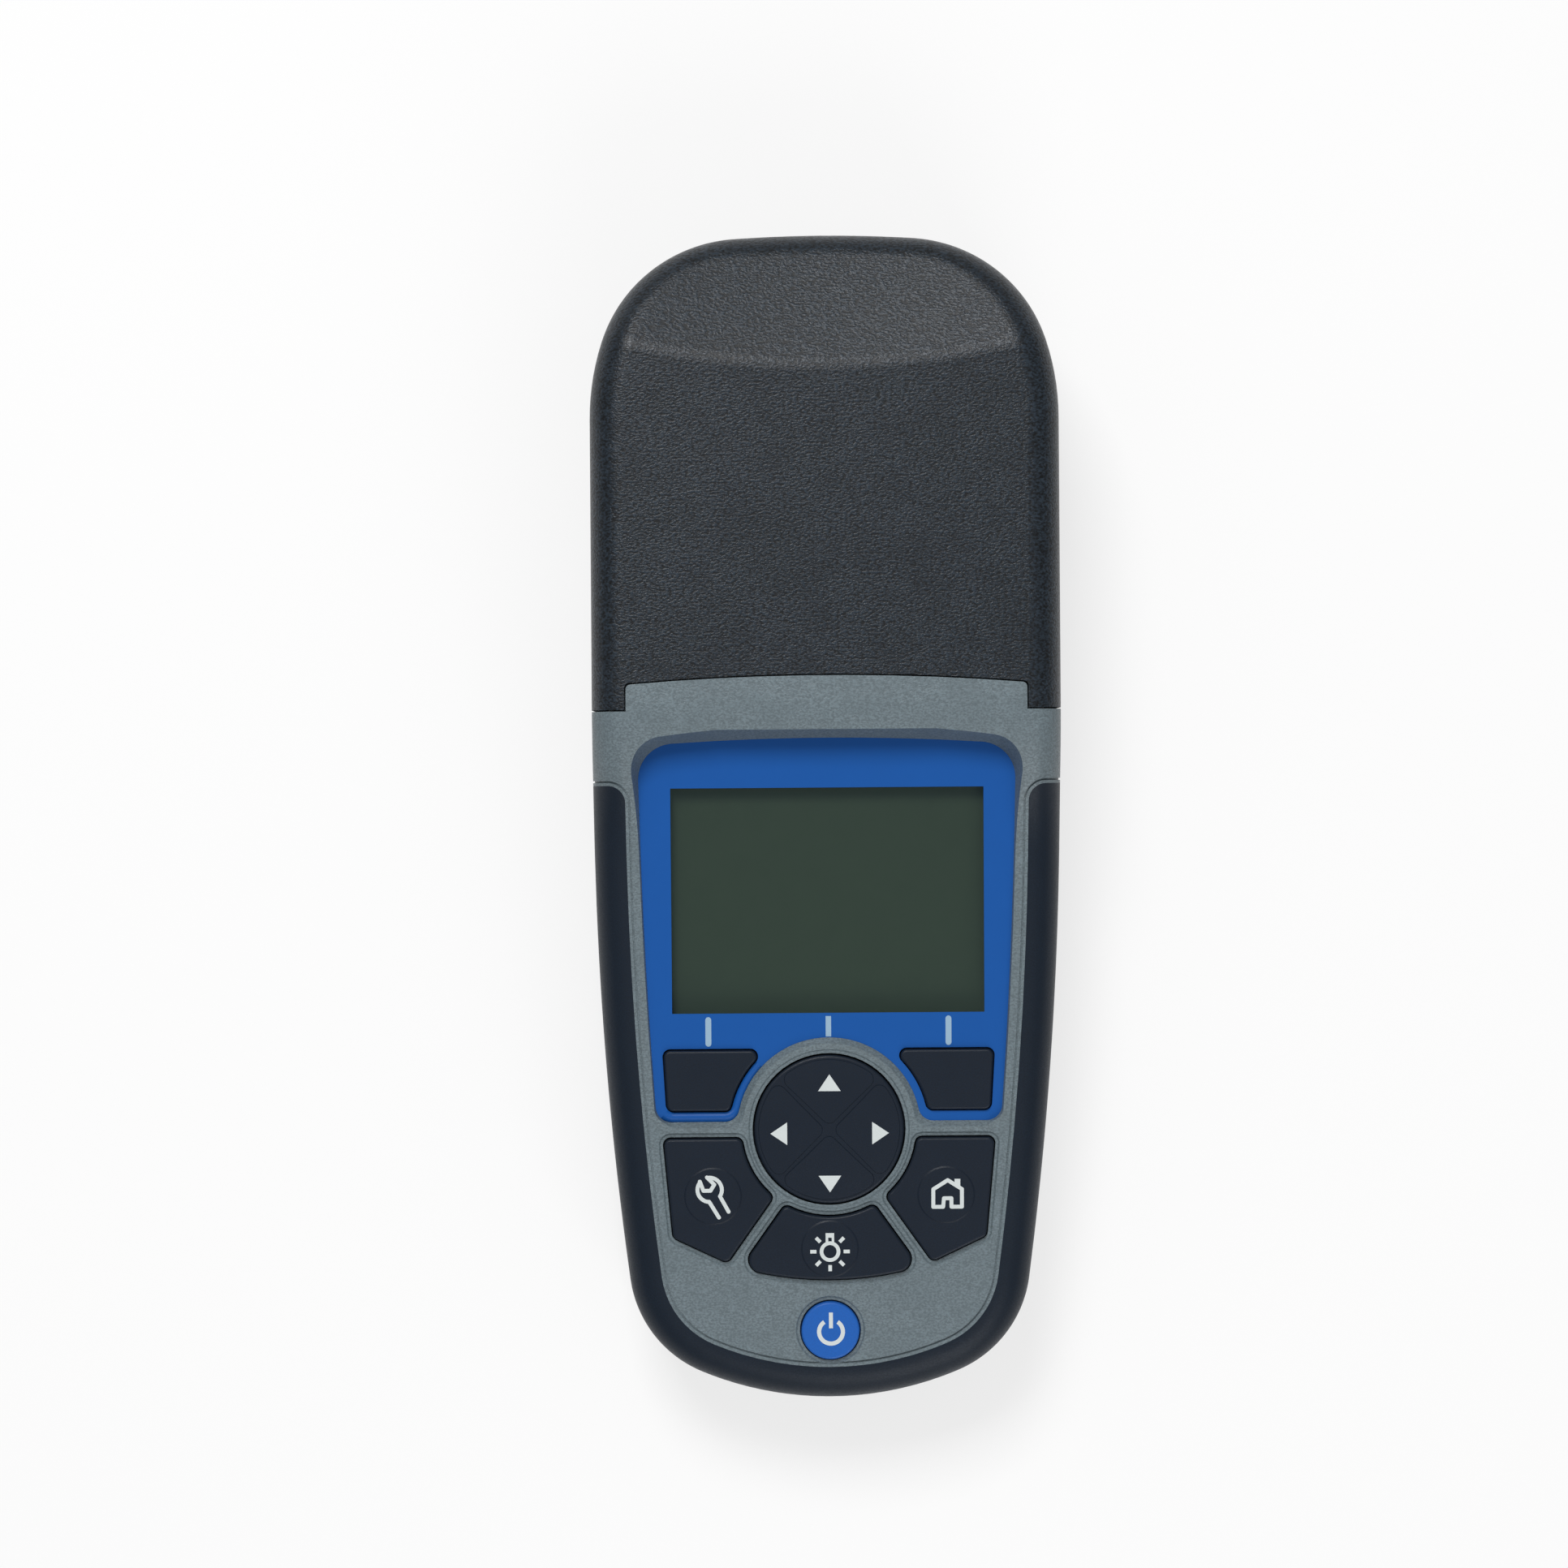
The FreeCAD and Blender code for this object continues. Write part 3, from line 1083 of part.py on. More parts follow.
def cover_tabs(play):
    """Make the tabs that hook the cover in, or their slots."""
    half = size("cover_tab_width") / 2 + play
    top = COVER_TOP - 0.1 + play
    tabs = []
    for x in (-size("cover_tab_x"), size("cover_tab_x")):
        tabs.append(block(x - half, x + half, COVER_HIGH - 1, COVER_HIGH + size("cover_tab_length") + play,
                          top - size("cover_tab_thickness") - 2 * play, top))
    return tabs


def cover_seal_ring(low, high):
    """Make the ring of the cover's seal, or its groove."""
    inner = 0.5 * (size("cover_ledge") - size("cover_seal_width"))
    outer = inner + size("cover_seal_width")
    ring = block(-BAY_HALF - outer, BAY_HALF + outer, BAY_LOW - outer, BAY_HIGH + outer, low, high)
    return ring.cut(block(-BAY_HALF - inner, BAY_HALF + inner, BAY_LOW - inner, BAY_HIGH + inner, low, high))


def battery_bay(shell, form):
    """Build the battery bay into the rear housing, open to the back under its cover."""
    wall = size("cover_ledge") + size("bay_wall")
    roof = BAY_ROOF + size("bay_wall")
    floor_block = block(-BAY_HALF - wall, BAY_HALF + wall, COVER_LOW - size("bay_wall"),
                        COVER_HIGH + size("cover_tab_length") + size("bay_wall"), BACK,
                        COVER_TOP + size("bay_floor_wall"))
    tub = block(-BAY_HALF - size("bay_wall"), BAY_HALF + size("bay_wall"), BAY_LOW - size("bay_wall"),
                BAY_HIGH + size("bay_wall"), BACK, roof)
    shell = shell.fuse(floor_block.fuse(tub).common(form.copy()))
    for x in (-size("cover_screw_x"), size("cover_screw_x")):
        end = COVER_TOP + size("cover_screw_length") + size("cover_boss_end")
        shell = shell.fuse(cylinder(size("cover_boss_radius"), COVER_TOP, end, x, COVER_SCREW_Y))
    shell = shell.cut(cover_prism(size("cover_gap"), BACK - 1, COVER_TOP))
    for slot in cover_tabs(size("cover_gap")):
        shell = shell.cut(slot)
    shell = shell.cut(block(-BAY_HALF, BAY_HALF, BAY_LOW, BAY_HIGH, BACK, BAY_ROOF))
    shell = shell.cut(cover_seal_ring(COVER_TOP, COVER_TOP + size("cover_seal_depth")))
    hole = size("cover_screw_radius") + size("screw_fit")
    tip = BACK + size("cover_screw_head_height") + size("cover_screw_length") + size("hole_end")
    for x in (-size("cover_screw_x"), size("cover_screw_x")):
        shell = shell.cut(cylinder(hole, BACK, tip, x, COVER_SCREW_Y))
    return shell


def seal_prism(low, high):
    """Make the housing seal's loop, or its groove, on the parting plane."""
    inset = size("seal_inset")
    width = size("seal_width")
    end = size("neck_end_y") - 0.5 * (size("neck_wall") - width)
    outer = plan_prism(inset, low, high).common(block(*EVERYWHERE, -REACH, end, low, high))
    inner = plan_prism(inset + width, low, high).common(block(*EVERYWHERE, -REACH, end - width, low, high))
    return outer.cut(inner)


def foot_places():
    """Give the places of the four feet."""
    places = []
    for side in (-1, 1):
        places.append((side * size("low_foot_x"), size("low_foot_y")))
        places.append((side * size("high_foot_x"), size("high_foot_y")))
    return places


def rear_housing_shape(form, shells):
    """Make the black rear housing, below the parting plane."""
    parting = size("parting_height")
    shell = shells.copy().common(block(*EVERYWHERE, *EVERYWHERE, -PAST, parting))
    for x, y, floor in screw_places():
        boss = cylinder(size("screw_boss_radius"), floor, parting, x, y)
        shell = shell.fuse(boss.common(form.copy()))
    shell = battery_bay(shell, form)
    for x, y, floor in screw_places():
        sink = floor + size("housing_screw_sink")
        head = size("housing_screw_head_radius") + size("hole_play")
        shell = shell.cut(cylinder(head, floor - 2, sink, x, y))
        shell = shell.cut(cylinder(size("housing_screw_radius") + size("hole_play"), floor, parting + 1, x, y))
    for x, y in foot_places():
        shell = shell.cut(cylinder(size("foot_radius"), 0, BACK + size("foot_sink"), x, y))
    shell = shell.cut(seal_prism(parting - size("seal_depth"), parting))
    return shell.removeSplitter()


def cap_shape():
    """Make the cap: a hood over the neck with a notch for the tongue and four guide ribs."""
    beyond = stretch(size("mouth_y"), REACH).cut(tongue_prism(0))
    hood = OUTER.copy().common(beyond).cut(nested_form(size("cap_wall")))
    inner = size("body_width") / 2 - size("cap_wall")
    rib_face = inner - size("cap_clearance") + size("guide_rib_gap")
    half = size("guide_rib_height") / 2
    for z in (size("low_rib_z"), size("high_rib_z")):
        rib = block(rib_face, inner + 0.5, size("guide_rib_start_y"), size("guide_rib_end_y"), z - half, z + half)
        for side in both_sides(rib):
            hood = hood.fuse(side)
    return hood.removeSplitter()


def window_shape():
    """Make the window with the soft keys' holes."""
    low = -size("window_depth") - size("window_thickness")
    plate = window_prism(0, low, -size("window_depth"))
    for key in SOFT_KEYS:
        plate = plate.cut(key.opening(low - 1, 1))
    return plate


def tape_shape():
    """Make the sealing tape between the window and its ledge."""
    inset = size("tape_inset")
    tape = window_prism(-inset, -WINDOW_BASE, -WINDOW_BASE + size("tape_thickness"))
    tape = tape.cut(view_block(size("view_margin") + inset, -WINDOW_BASE - 1, 0))
    for key in SOFT_KEYS:
        tape = tape.cut(slab(grown(key.face, size("key_flange") + size("key_gap") + inset), -WINDOW_BASE - 1, 0))
    return tape


def petal_shape(height):
    """Make one raised petal of the pad, a quarter round with steep sides, to cross with a dome."""
    start = size("petal_start")
    end = size("petal_end")
    quarter = polygon_face([(start, 0), (start + end, end), (start + end, -end)]).common(disc_face(end)).Faces[0]
    quarter = rounded_face(quarter, lambda x, y: size("petal_corner"))
    wide = grown(quarter, height / 2).OuterWire
    narrow = quarter.OuterWire
    narrow.translate(Vector(0, 0, height))
    return Part.makeLoft([wide, narrow], True, True)


def nav_pad_shape():
    """Make the navigation pad: a crowned disc with four low petals."""
    radius = size("nav_radius")
    rim = size("nav_rim_height")
    crown = size("nav_crown")
    ball = (radius ** 2 + crown ** 2) / (2 * crown)
    disc = cylinder(radius, -NAV_BOTTOM, rim + crown)
    dome = Part.makeSphere(ball, Vector(0, 0, rim + crown - ball))
    disc = disc.common(dome)
    rim_edge = [edge for edge in disc.Edges if abs(edge.BoundBox.ZMin - rim) < 0.01 and edge.Closed]
    disc = disc.makeFillet(size("key_edge_radius"), rim_edge)
    top = rim + crown + size("petal_height")
    raised = dome.copy()
    raised.translate(Vector(0, 0, size("petal_height")))
    raised = raised.common(cylinder(radius - size("key_edge_radius"), 0, top))
    petal = petal_shape(top)
    for turn in range(4):
        turned = petal.copy()
        turned.rotate(ORIGIN, Z_AXIS, 90 * turn)
        disc = disc.fuse(turned.common(raised))
    flange = cylinder(radius + size("nav_flange"), -NAV_BOTTOM, size("nav_flange_thickness") - NAV_BOTTOM)
    return disc.fuse(flange).removeSplitter()


def mat_shape():
    """Make the keypad mat with a dome under each key."""
    top = -MAT_TOP
    low = top - size("mat_thickness")
    edge = size("mat_margin")
    half = size("keypad_board_half_width") - edge
    tab = size("keypad_tab_half_width") - edge
    mat = block(-half, half, size("keypad_board_low") + edge, size("keypad_board_high") - edge, low, top)
    mat = mat.fuse(block(-tab, tab, size("keypad_tab_low") + edge, size("keypad_board_low") + 2, low, top))
    for key in KEYS:
        mat = mat.fuse(cylinder(size("mat_dome_radius"), low, top + size("mat_dome_height"), *key.middle))
    for x, y, foot, root in board_posts()[::3]:
        mat = mat.cut(cylinder(size("board_post_radius") + size("hole_play"), low - 1, top + 1, x, y))
    return mat.removeSplitter()


def screw_shape(head_radius, head_height, radius, length, slot=True):
    """Make a cross-head screw that points up, with the underside of its head at the origin."""
    head = cylinder(head_radius, -head_height, 0)
    low_edge = [edge for edge in head.Edges if abs(edge.BoundBox.ZMax + head_height) < 1e-4 and edge.Closed]
    head = head.makeChamfer(0.3 * head_height, low_edge)
    screw = head.fuse(cylinder(radius, 0, length))
    if slot:
        half = 0.6 * head_radius
        blade = 0.12 * head_radius
        deep = -0.45 * head_height
        screw = screw.cut(block(-half, half, -blade, blade, -head_height - 1, deep))
        screw = screw.cut(block(-blade, blade, -half, half, -head_height - 1, deep))
    return screw.removeSplitter()


def placed(shape, x, y, z, axis=X_AXIS, angle=0.0):
    """Return a copy of a shape at a place, turned about an axis through it."""
    moved = shape.copy()
    moved.Placement = Placement(Vector(x, y, z), Rotation(axis, angle))
    return moved


def housing_screws_shape():
    """Make the six housing screws in their counterbores."""
    screw = screw_shape(size("housing_screw_head_radius"), size("housing_screw_head_height"),
                        size("housing_screw_radius"), size("housing_screw_length"))
    return Part.makeCompound([placed(screw, x, y, floor + size("housing_screw_sink"))
                              for x, y, floor in screw_places()])


def board_screws_shape():
    """Make the screws that hold both boards to the front housing's posts."""
    screw = screw_shape(size("board_screw_head_radius"), size("board_screw_head_height"),
                        size("board_screw_radius"), size("board_screw_length"), slot=False)
    screws = [on_face(placed(screw, x, y, foot - size("board_thickness"))) for x, y, foot, root in board_posts()]
    return Part.makeCompound(screws)


def battery_cover_shape():
    """Make the battery cover with its tabs and countersunk holes."""
    plate = cover_prism(0, BACK, COVER_TOP)
    for tab in cover_tabs(0):
        plate = plate.fuse(tab)
    head = size("cover_screw_head_radius") + size("hole_play")
    for x in (-size("cover_screw_x"), size("cover_screw_x")):
        plate = plate.cut(cylinder(head, BACK - 1, BACK + size("cover_screw_head_height"), x, COVER_SCREW_Y))
        plate = plate.cut(cylinder(size("cover_screw_radius") + size("hole_play"), 0, 10, x, COVER_SCREW_Y))
    return plate.removeSplitter()


def cover_screws_shape():
    """Make the two cover screws, with coin slots."""
    radius = size("cover_screw_head_radius")
    height = size("cover_screw_head_height")
    screw = screw_shape(radius, height, size("cover_screw_radius"), size("cover_screw_length"), slot=False)
    half = size("coin_slot_half")
    screw = screw.cut(block(-radius, radius, -half, half, -height - 1, -0.4 * height))
    return Part.makeCompound([placed(screw, x, COVER_SCREW_Y, BACK + height)
                              for x in (-size("cover_screw_x"), size("cover_screw_x"))])


def cell_middle(index):
    """Give the place across the bay of one cell."""
    return (index - (CELLS - 1) / 2) * size("battery_pitch")


def battery_springs_shape():
    """Make a bowed leaf spring at the flat end of each cell."""
    strip = size("spring_strip")
    length = size("spring_length")
    half = size("contact_width") / 2
    springs = []
    for index in range(CELLS):
        x = cell_middle(index)
        at_low = index % 2 == 0
        wall = BAY_LOW if at_low else BAY_HIGH
        sign = 1 if at_low else -1
        plate = block(x - half, x + half, min(wall, wall + sign * strip), max(wall, wall + sign * strip),
                      CELL_HEIGHT - half, CELL_HEIGHT + half)
        left = x - size("spring_width") / 2

        def place(reach, rise):
            return Vector(left, wall + sign * reach, CELL_HEIGHT + rise)

        bow = Part.Wire([
            Part.Arc(place(0, -half), place(length, 0), place(0, half)).toShape(),
            Part.makeLine(place(0, half), place(0, half - strip)),
            Part.Arc(place(0, half - strip), place(length - strip, 0), place(0, strip - half)).toShape(),
            Part.makeLine(place(0, strip - half), place(0, -half)),
        ])
        leaf = Part.Face(bow).extrude(Vector(size("spring_width"), 0, 0))
        springs.append(plate.fuse(leaf).removeSplitter())
    return Part.makeCompound(springs)


def battery_contacts_shape():
    """Make a flat contact at the nub end of each cell."""
    half = size("contact_width") / 2
    thickness = size("contact_thickness")
    contacts = []
    for index in range(CELLS):
        x = cell_middle(index)
        low = BAY_HIGH - thickness if index % 2 == 0 else BAY_LOW
        contacts.append(block(x - half, x + half, low, low + thickness, CELL_HEIGHT - half, CELL_HEIGHT + half))
    return Part.makeCompound(contacts)


def leaf_spring_shape():
    """Make the leaf spring that lies in the well's wall and presses on a sample cell."""
    width = size("leaf_width")
    height = size("leaf_height")
    face = size("well_radius") + size("leaf_recess")
    back = face + size("leaf_thickness")
    low = size("light_height") - height / 2
    ring = cylinder(back, low, low + height, 0, size("well_y")).cut(cylinder(face, low, low + height, 0, size("well_y")))
    return ring.common(block(-width / 2, width / 2, size("well_y") - 20, size("well_y"), low, low + height))


def optics_screws_shape():
    """Make the four screws that hold the two optics boards to the light arms."""
    screw = screw_shape(size("optics_screw_head_radius"), size("optics_screw_head_height"),
                        size("optics_screw_radius"), size("optics_screw_length"), slot=False)
    reach = size("arm_reach") + size("board_thickness")
    screws = []
    for offset in (-size("optics_screw_y"), size("optics_screw_y")):
        y = size("well_y") + offset
        screws.append(placed(screw, -reach, y, size("light_height"), Y_AXIS, 90))
        screws.append(placed(screw, reach, y, size("light_height"), Y_AXIS, -90))
    return Part.makeCompound(screws)


def holder_screws_shape():
    """Make the four screws that hold the cell holder under the neck's top."""
    screw = screw_shape(size("board_screw_head_radius"), size("board_screw_head_height"),
                        size("board_screw_radius"), size("holder_screw_length"), slot=False)
    level = HOLDER_FLANGE_TOP - size("holder_flange_thickness")
    return Part.makeCompound([placed(screw, x, y, level) for x, y in holder_posts()])


def lamps_shape():
    """Make the four lamps that stand in the source arm."""
    spacing = size("lamp_spacing")
    radius = size("lamp_radius")
    lamps = []
    for y in (-spacing, spacing):
        for z in (-spacing, spacing):
            base = Vector(-size("arm_reach"), size("well_y") + y, size("light_height") + z)
            lamp = Part.makeCylinder(radius, size("lamp_length") - radius, base, X_AXIS)
            dome = Part.makeSphere(radius, base + Vector(size("lamp_length") - radius, 0, 0))
            lamps.append(lamp.fuse(dome).removeSplitter())
    return Part.makeCompound(lamps)


def make_mouldings():
    """Build the cap, the grip, the housings and their seal."""
    grip = grip_shape()
    form = housing_form(grip)
    shells = form.cut(shell_hollow())
    keep("cap", cap_shape())
    keep("grip", grip)
    keep("front_housing", front_housing_shape(form, shells, grip))
    keep("rear_housing", rear_housing_shape(form, shells))
    keep("housing_seal", seal_prism(size("parting_height") - size("seal_depth"), size("parting_height")))
    keep("housing_screws", housing_screws_shape())


def make_front_pieces():
    """Build the window, the keys and what they rest on."""
    keep("display_window", on_face(window_shape()))
    keep("window_tape", on_face(tape_shape()))
    for key in KEYS:
        keep(key.label, on_face(key.solid()))
    keep("nav_pad", on_face(nav_pad_shape()))
    keep("keypad_mat", on_face(mat_shape()))
    keep("board_screws", board_screws_shape())


def make_battery_pieces():
    """Build the battery cover, its seal and screws, the springs and the contacts."""
    keep("battery_cover", battery_cover_shape())
    keep("battery_cover_seal", cover_seal_ring(COVER_TOP, COVER_TOP + size("cover_seal_depth")))
    keep("battery_cover_screws", cover_screws_shape())
    keep("battery_springs", battery_springs_shape())
    keep("battery_contacts", battery_contacts_shape())


def make_optics_pieces():
    """Build the small computed pieces of the optics."""
    keep("cell_spring", leaf_spring_shape())
    keep("led_lamps", lamps_shape())
    keep("optics_screws", optics_screws_shape())
    keep("holder_screws", holder_screws_shape())


def new_body(label, on_keypad=False):
    """Start a body, in the keypad's frame if asked."""
    body = DOCUMENT.addObject("PartDesign::Body", label)
    if on_keypad:
        body.Placement = FACE_FRAME
        bind(body, Placement__Base__y="nav_centre_y", Placement__Base__z=NAV_Z_TEXT,
             Placement__Rotation__Angle="keypad_tilt")
    NODES.append(body)
    return body


def new_sketch(body, name, level="0", role="XY_Plane", x="0", y="0"):
    """Start a sketch on one of the body's own planes, shifted along and out of it."""
    plane = [item for item in body.Origin.OriginFeatures if item.Role == role][0]
    sketch = body.newObject("Sketcher::SketchObject", body.Label + "_" + name)
    sketch.AttachmentSupport = [(plane, "")]
    sketch.MapMode = "FlatFace"
    bind(sketch, AttachmentOffset__Base__x=x, AttachmentOffset__Base__y=y, AttachmentOffset__Base__z=level)
    return sketch


def fix_point(sketch, geometry, point, x, y):
    """Fix a point of a sketch at a place given by two expressions."""
    for kind, text, axis in (("DistanceX", x, -2), ("DistanceY", y, -1)):
        value = measure(text)
        if abs(value) < 1e-9:
            sketch.addConstraint(Sketcher.Constraint("PointOnObject", geometry, point, axis))
            continue
        index = sketch.addConstraint(Sketcher.Constraint(kind, -1, 1, geometry, point, value))
        name = "%s_%d" % (kind.lower(), index)
        sketch.renameConstraint(index, name)
        bind(sketch, **{"Constraints__" + name: text})


def add_circle(sketch, x, y, radius):
    """Draw a circle whose centre and radius are expressions."""
    centre = Vector(measure(x), measure(y), 0)
    circle = sketch.addGeometry(Part.Circle(centre, Z_AXIS, measure(radius)), False)
    fix_point(sketch, circle, 3, x, y)
    index = sketch.addConstraint(Sketcher.Constraint("Radius", circle, measure(radius)))
    sketch.renameConstraint(index, "radius_%d" % index)
    bind(sketch, **{"Constraints__radius_%d" % index: radius})


def add_polygon(sketch, points):
    """Draw a closed outline through points given as pairs of expressions."""
    places = [Vector(measure(x), measure(y), 0) for x, y in points]
    first = sketch.GeometryCount
    count = len(points)
    for index in range(count):
        line = Part.LineSegment(places[index], places[(index + 1) % count])
        sketch.addGeometry(line, False)
    for index in range(count):
        following = first + (index + 1) % count
        sketch.addConstraint(Sketcher.Constraint("Coincident", first + index, 2, following, 1))
    for index, (x, y) in enumerate(points):
        fix_point(sketch, first + index, 1, x, y)


def add_rectangle(sketch, x_low, x_high, y_low, y_high):
    """Draw a rectangle between two corners given by expressions."""
    add_polygon(sketch, [(x_low, y_low), (x_high, y_low), (x_high, y_high), (x_low, y_high)])


def add_pad(body, sketch, length):
    """Pad a sketch along its normal."""
    pad = body.newObject("PartDesign::Pad", sketch.Name + "_pad")
    pad.Profile = sketch
    bind(pad, Length=length)
    sketch.Visibility = False
    return pad


def add_pocket(body, sketch, length):
    """Pocket a sketch against its normal, and check that it cuts."""
    DOCUMENT.recompute()
    before = body.Shape.Volume
    pocket = body.newObject("PartDesign::Pocket", sketch.Name + "_pocket")
    pocket.Profile = sketch
    bind(pocket, Length=length)
    DOCUMENT.recompute()
    if body.Shape.Volume >= before - 1e-6:
        raise RuntimeError(sketch.Name + " cuts nothing")
    return pocket


def add_revolution(body, sketch, axis="V_Axis"):
    """Turn a half profile once round one of its sketch's axes."""
    turned = body.newObject("PartDesign::Revolution", sketch.Name + "_revolution")
    turned.Profile = sketch
    turned.ReferenceAxis = (sketch, [axis])
    turned.Angle = 360.0
    return turned


def make_keypad_board():
    """Build the board under the keys: a wide part, a lower tab and two screw holes."""
    body = new_body("keypad_board", on_keypad=True)
    sketch = new_sketch(body, "outline", "-" + MAT_TOP_TEXT + " - mat_thickness - board_thickness")
    half = "keypad_board_half_width"
    tab = "keypad_tab_half_width"
    add_polygon(sketch, [
        ("-" + tab, "keypad_tab_low"), (tab, "keypad_tab_low"), (tab, "keypad_board_low"),
        (half, "keypad_board_low"), (half, "keypad_board_high"), ("-" + half, "keypad_board_high"),
        ("-" + half, "keypad_board_low"), ("-" + tab, "keypad_board_low"),
    ])
    for x in ("-tab_post_x", "tab_post_x"):
        add_circle(sketch, x, "tab_post_y", "board_screw_radius + hole_play")
    add_pad(body, sketch, "board_thickness")


MAIN_TOP = "-(window_depth + window_thickness + tape_thickness + ledge_thickness + lcd_gap + lcd_stack)"


def make_main_board():
    """Build the main board with its two ears and four screw holes."""
    body = new_body("main_board", on_keypad=True)
    sketch = new_sketch(body, "outline", MAIN_TOP + " - board_thickness")
    half = "main_board_half_width"
    ear = "(main_board_half_width + main_board_ear)"
    ear_low = EAR_Y + " - ear_half_length"
    ear_high = EAR_Y + " + ear_half_length"
    add_polygon(sketch, [
        ("-" + half, "main_board_low"), (half, "main_board_low"), (half, ear_low), (ear, ear_low),
        (ear, ear_high), (half, ear_high), (half, "main_board_high"), ("-" + half, "main_board_high"),
        ("-" + half, ear_high), ("-" + ear, ear_high), ("-" + ear, ear_low), ("-" + half, ear_low),
    ])
    for side in ("-", ""):
        add_circle(sketch, side + EAR_X, EAR_Y, "board_screw_radius + hole_play")
        add_circle(sketch, side + HIGH_POST_X, HIGH_POST_Y, "board_screw_radius + hole_play")
    add_pad(body, sketch, "board_thickness")


def make_board_header():
    """Build the connector between the two boards."""
    body = new_body("board_header", on_keypad=True)
    sketch = new_sketch(body, "outline", MAIN_TOP)
    low = "main_board_low + header_low"
    add_rectangle(sketch, "-header_half_width", "header_half_width", low, low + " + header_length")
    add_pad(body, sketch, "-" + MAT_TOP_TEXT + " - mat_thickness - board_thickness - (" + MAIN_TOP + ")")


def make_clock_cell():
    """Build the coin cell that keeps the clock, on the main board's underside."""
    body = new_body("clock_cell", on_keypad=True)
    sketch = new_sketch(body, "outline", MAIN_TOP + " - board_thickness - clock_cell_thickness")
    add_circle(sketch, "clock_cell_x", "main_board_high - clock_cell_inset", "clock_cell_radius")
    add_pad(body, sketch, "clock_cell_thickness")


# Pieces under the main board: name, left side, inset from its upper end, width, length, height
CHIPS = [
    ("processor", 4, 23, 14, 14, 1.4),
    ("memory", 22, 21, 6, 10, 1.2),
    ("amplifier", 6, 35, 8, 6, 1.4),
    ("source_socket", -6, 8.5, 6, 8, 3.0),
    ("detector_socket", 12, 8.5, 6, 8, 3.0),
]


def make_board_chips():
    """Build the processor, the memory, the sockets and the sounder on the main board's underside."""
    parts = []
    for name, x, inset, width, length, height in CHIPS:
        chip = DOCUMENT.addObject("Part::Box", name)
        bind(chip, Width=str(length), Length=str(width), Height=str(height))
        offset = Vector(x, size("main_board_high") - inset, measure(MAIN_TOP + " - board_thickness") - height)
        chip.Placement = FACE_FRAME.multiply(Placement(offset, Rotation()))
        parts.append(chip)
    group = DOCUMENT.addObject("Part::Compound", "board_chips")
    group.Links = parts
    NODES.append(group)


def make_display():
    """Build the display: its frame, its glass and its light guide."""
    inner = "(lcd_half_width - lcd_frame_wall)"
    low = "(lcd_low + lcd_frame_wall)"
    high = "(lcd_high - lcd_frame_wall)"
    frame = new_body("lcd_frame", on_keypad=True)
    outline = new_sketch(frame, "outline", MAIN_TOP)
    add_rectangle(outline, "-lcd_half_width", "lcd_half_width", "lcd_low", "lcd_high")
    add_pad(frame, outline, "lcd_stack")
    view = new_sketch(frame, "view", MAIN_TOP + " + lcd_stack")
    add_rectangle(view, "-view_half_width - lcd_view_margin", "view_half_width + lcd_view_margin",
                  "view_low_y - nav_centre_y - lcd_view_margin", "view_high_y - nav_centre_y + lcd_view_margin")
    add_pocket(frame, view, "lcd_lip")
    inside = new_sketch(frame, "inside", MAIN_TOP + " + lcd_stack - lcd_lip")
    add_rectangle(inside, "-" + inner, inner, low, high)
    add_pocket(frame, inside, "lcd_stack - lcd_lip")

    glass = new_body("lcd_panel", on_keypad=True)
    sheet = new_sketch(glass, "outline", MAIN_TOP + " + lcd_stack - lcd_lip - lcd_glass_thickness")
    add_rectangle(sheet, "-" + inner, inner, low, high)
    add_pad(glass, sheet, "lcd_glass_thickness")

    guide = new_body("lcd_backlight", on_keypad=True)
    plate = new_sketch(guide, "outline", MAIN_TOP)
    add_rectangle(plate, "-" + inner, inner, low, high)
    add_pad(guide, plate, "lcd_stack - lcd_lip - lcd_glass_thickness")


def make_nav_pivot():
    """Build the small disc on which the navigation pad rocks."""
    body = new_body("nav_pivot", on_keypad=True)
    sketch = new_sketch(body, "outline", "-" + NAV_BOTTOM_TEXT + " - pivot_gap - pivot_thickness")
    add_circle(sketch, "0", "0", "pivot_radius")
    add_pad(body, sketch, "pivot_thickness")


BAY_HIGH_TEXT = "(bay_low_y + spring_length + battery_length + contact_thickness)"
CELL_HEIGHT_TEXT = "foot_height + cover_thickness + battery_rest + battery_radius"


def make_batteries():
    """Build the four cells, turned about in turn."""
    can = "(battery_length - battery_nub_length)"
    for index in range(CELLS):
        body = new_body("battery_%d" % (index + 1))
        sketch = new_sketch(body, "profile")
        add_polygon(sketch, [
            ("0", "0"), ("battery_radius - battery_bevel", "0"), ("battery_radius", "battery_bevel"),
            ("battery_radius", can + " - battery_bevel"), ("battery_radius - battery_bevel", can),
            ("battery_nub_radius", can), ("battery_nub_radius", "battery_length"), ("0", "battery_length"),
        ])
        add_revolution(body, sketch)
        forward = index % 2 == 0
        turn = 0 if forward else 180
        body.Placement = Placement(Vector(0, 0, 0), Rotation(Z_AXIS, turn))
        start = "bay_low_y + spring_length" if forward else BAY_HIGH_TEXT + " - spring_length"
        bind(body, Placement__Base__x="(%g) * battery_pitch" % (index - (CELLS - 1) / 2),
             Placement__Base__y=start, Placement__Base__z=CELL_HEIGHT_TEXT)


HOLDER_BASE = "foot_height + cap_wall + cap_clearance + neck_wall + well_foot_gap"
HOLDER_TOP_TEXT = "foot_height + body_thickness - cap_wall - cap_clearance - well_mouth_drop"
FLANGE_TOP_TEXT = "foot_height + body_thickness - cap_wall - cap_clearance - neck_wall - holder_post_height"


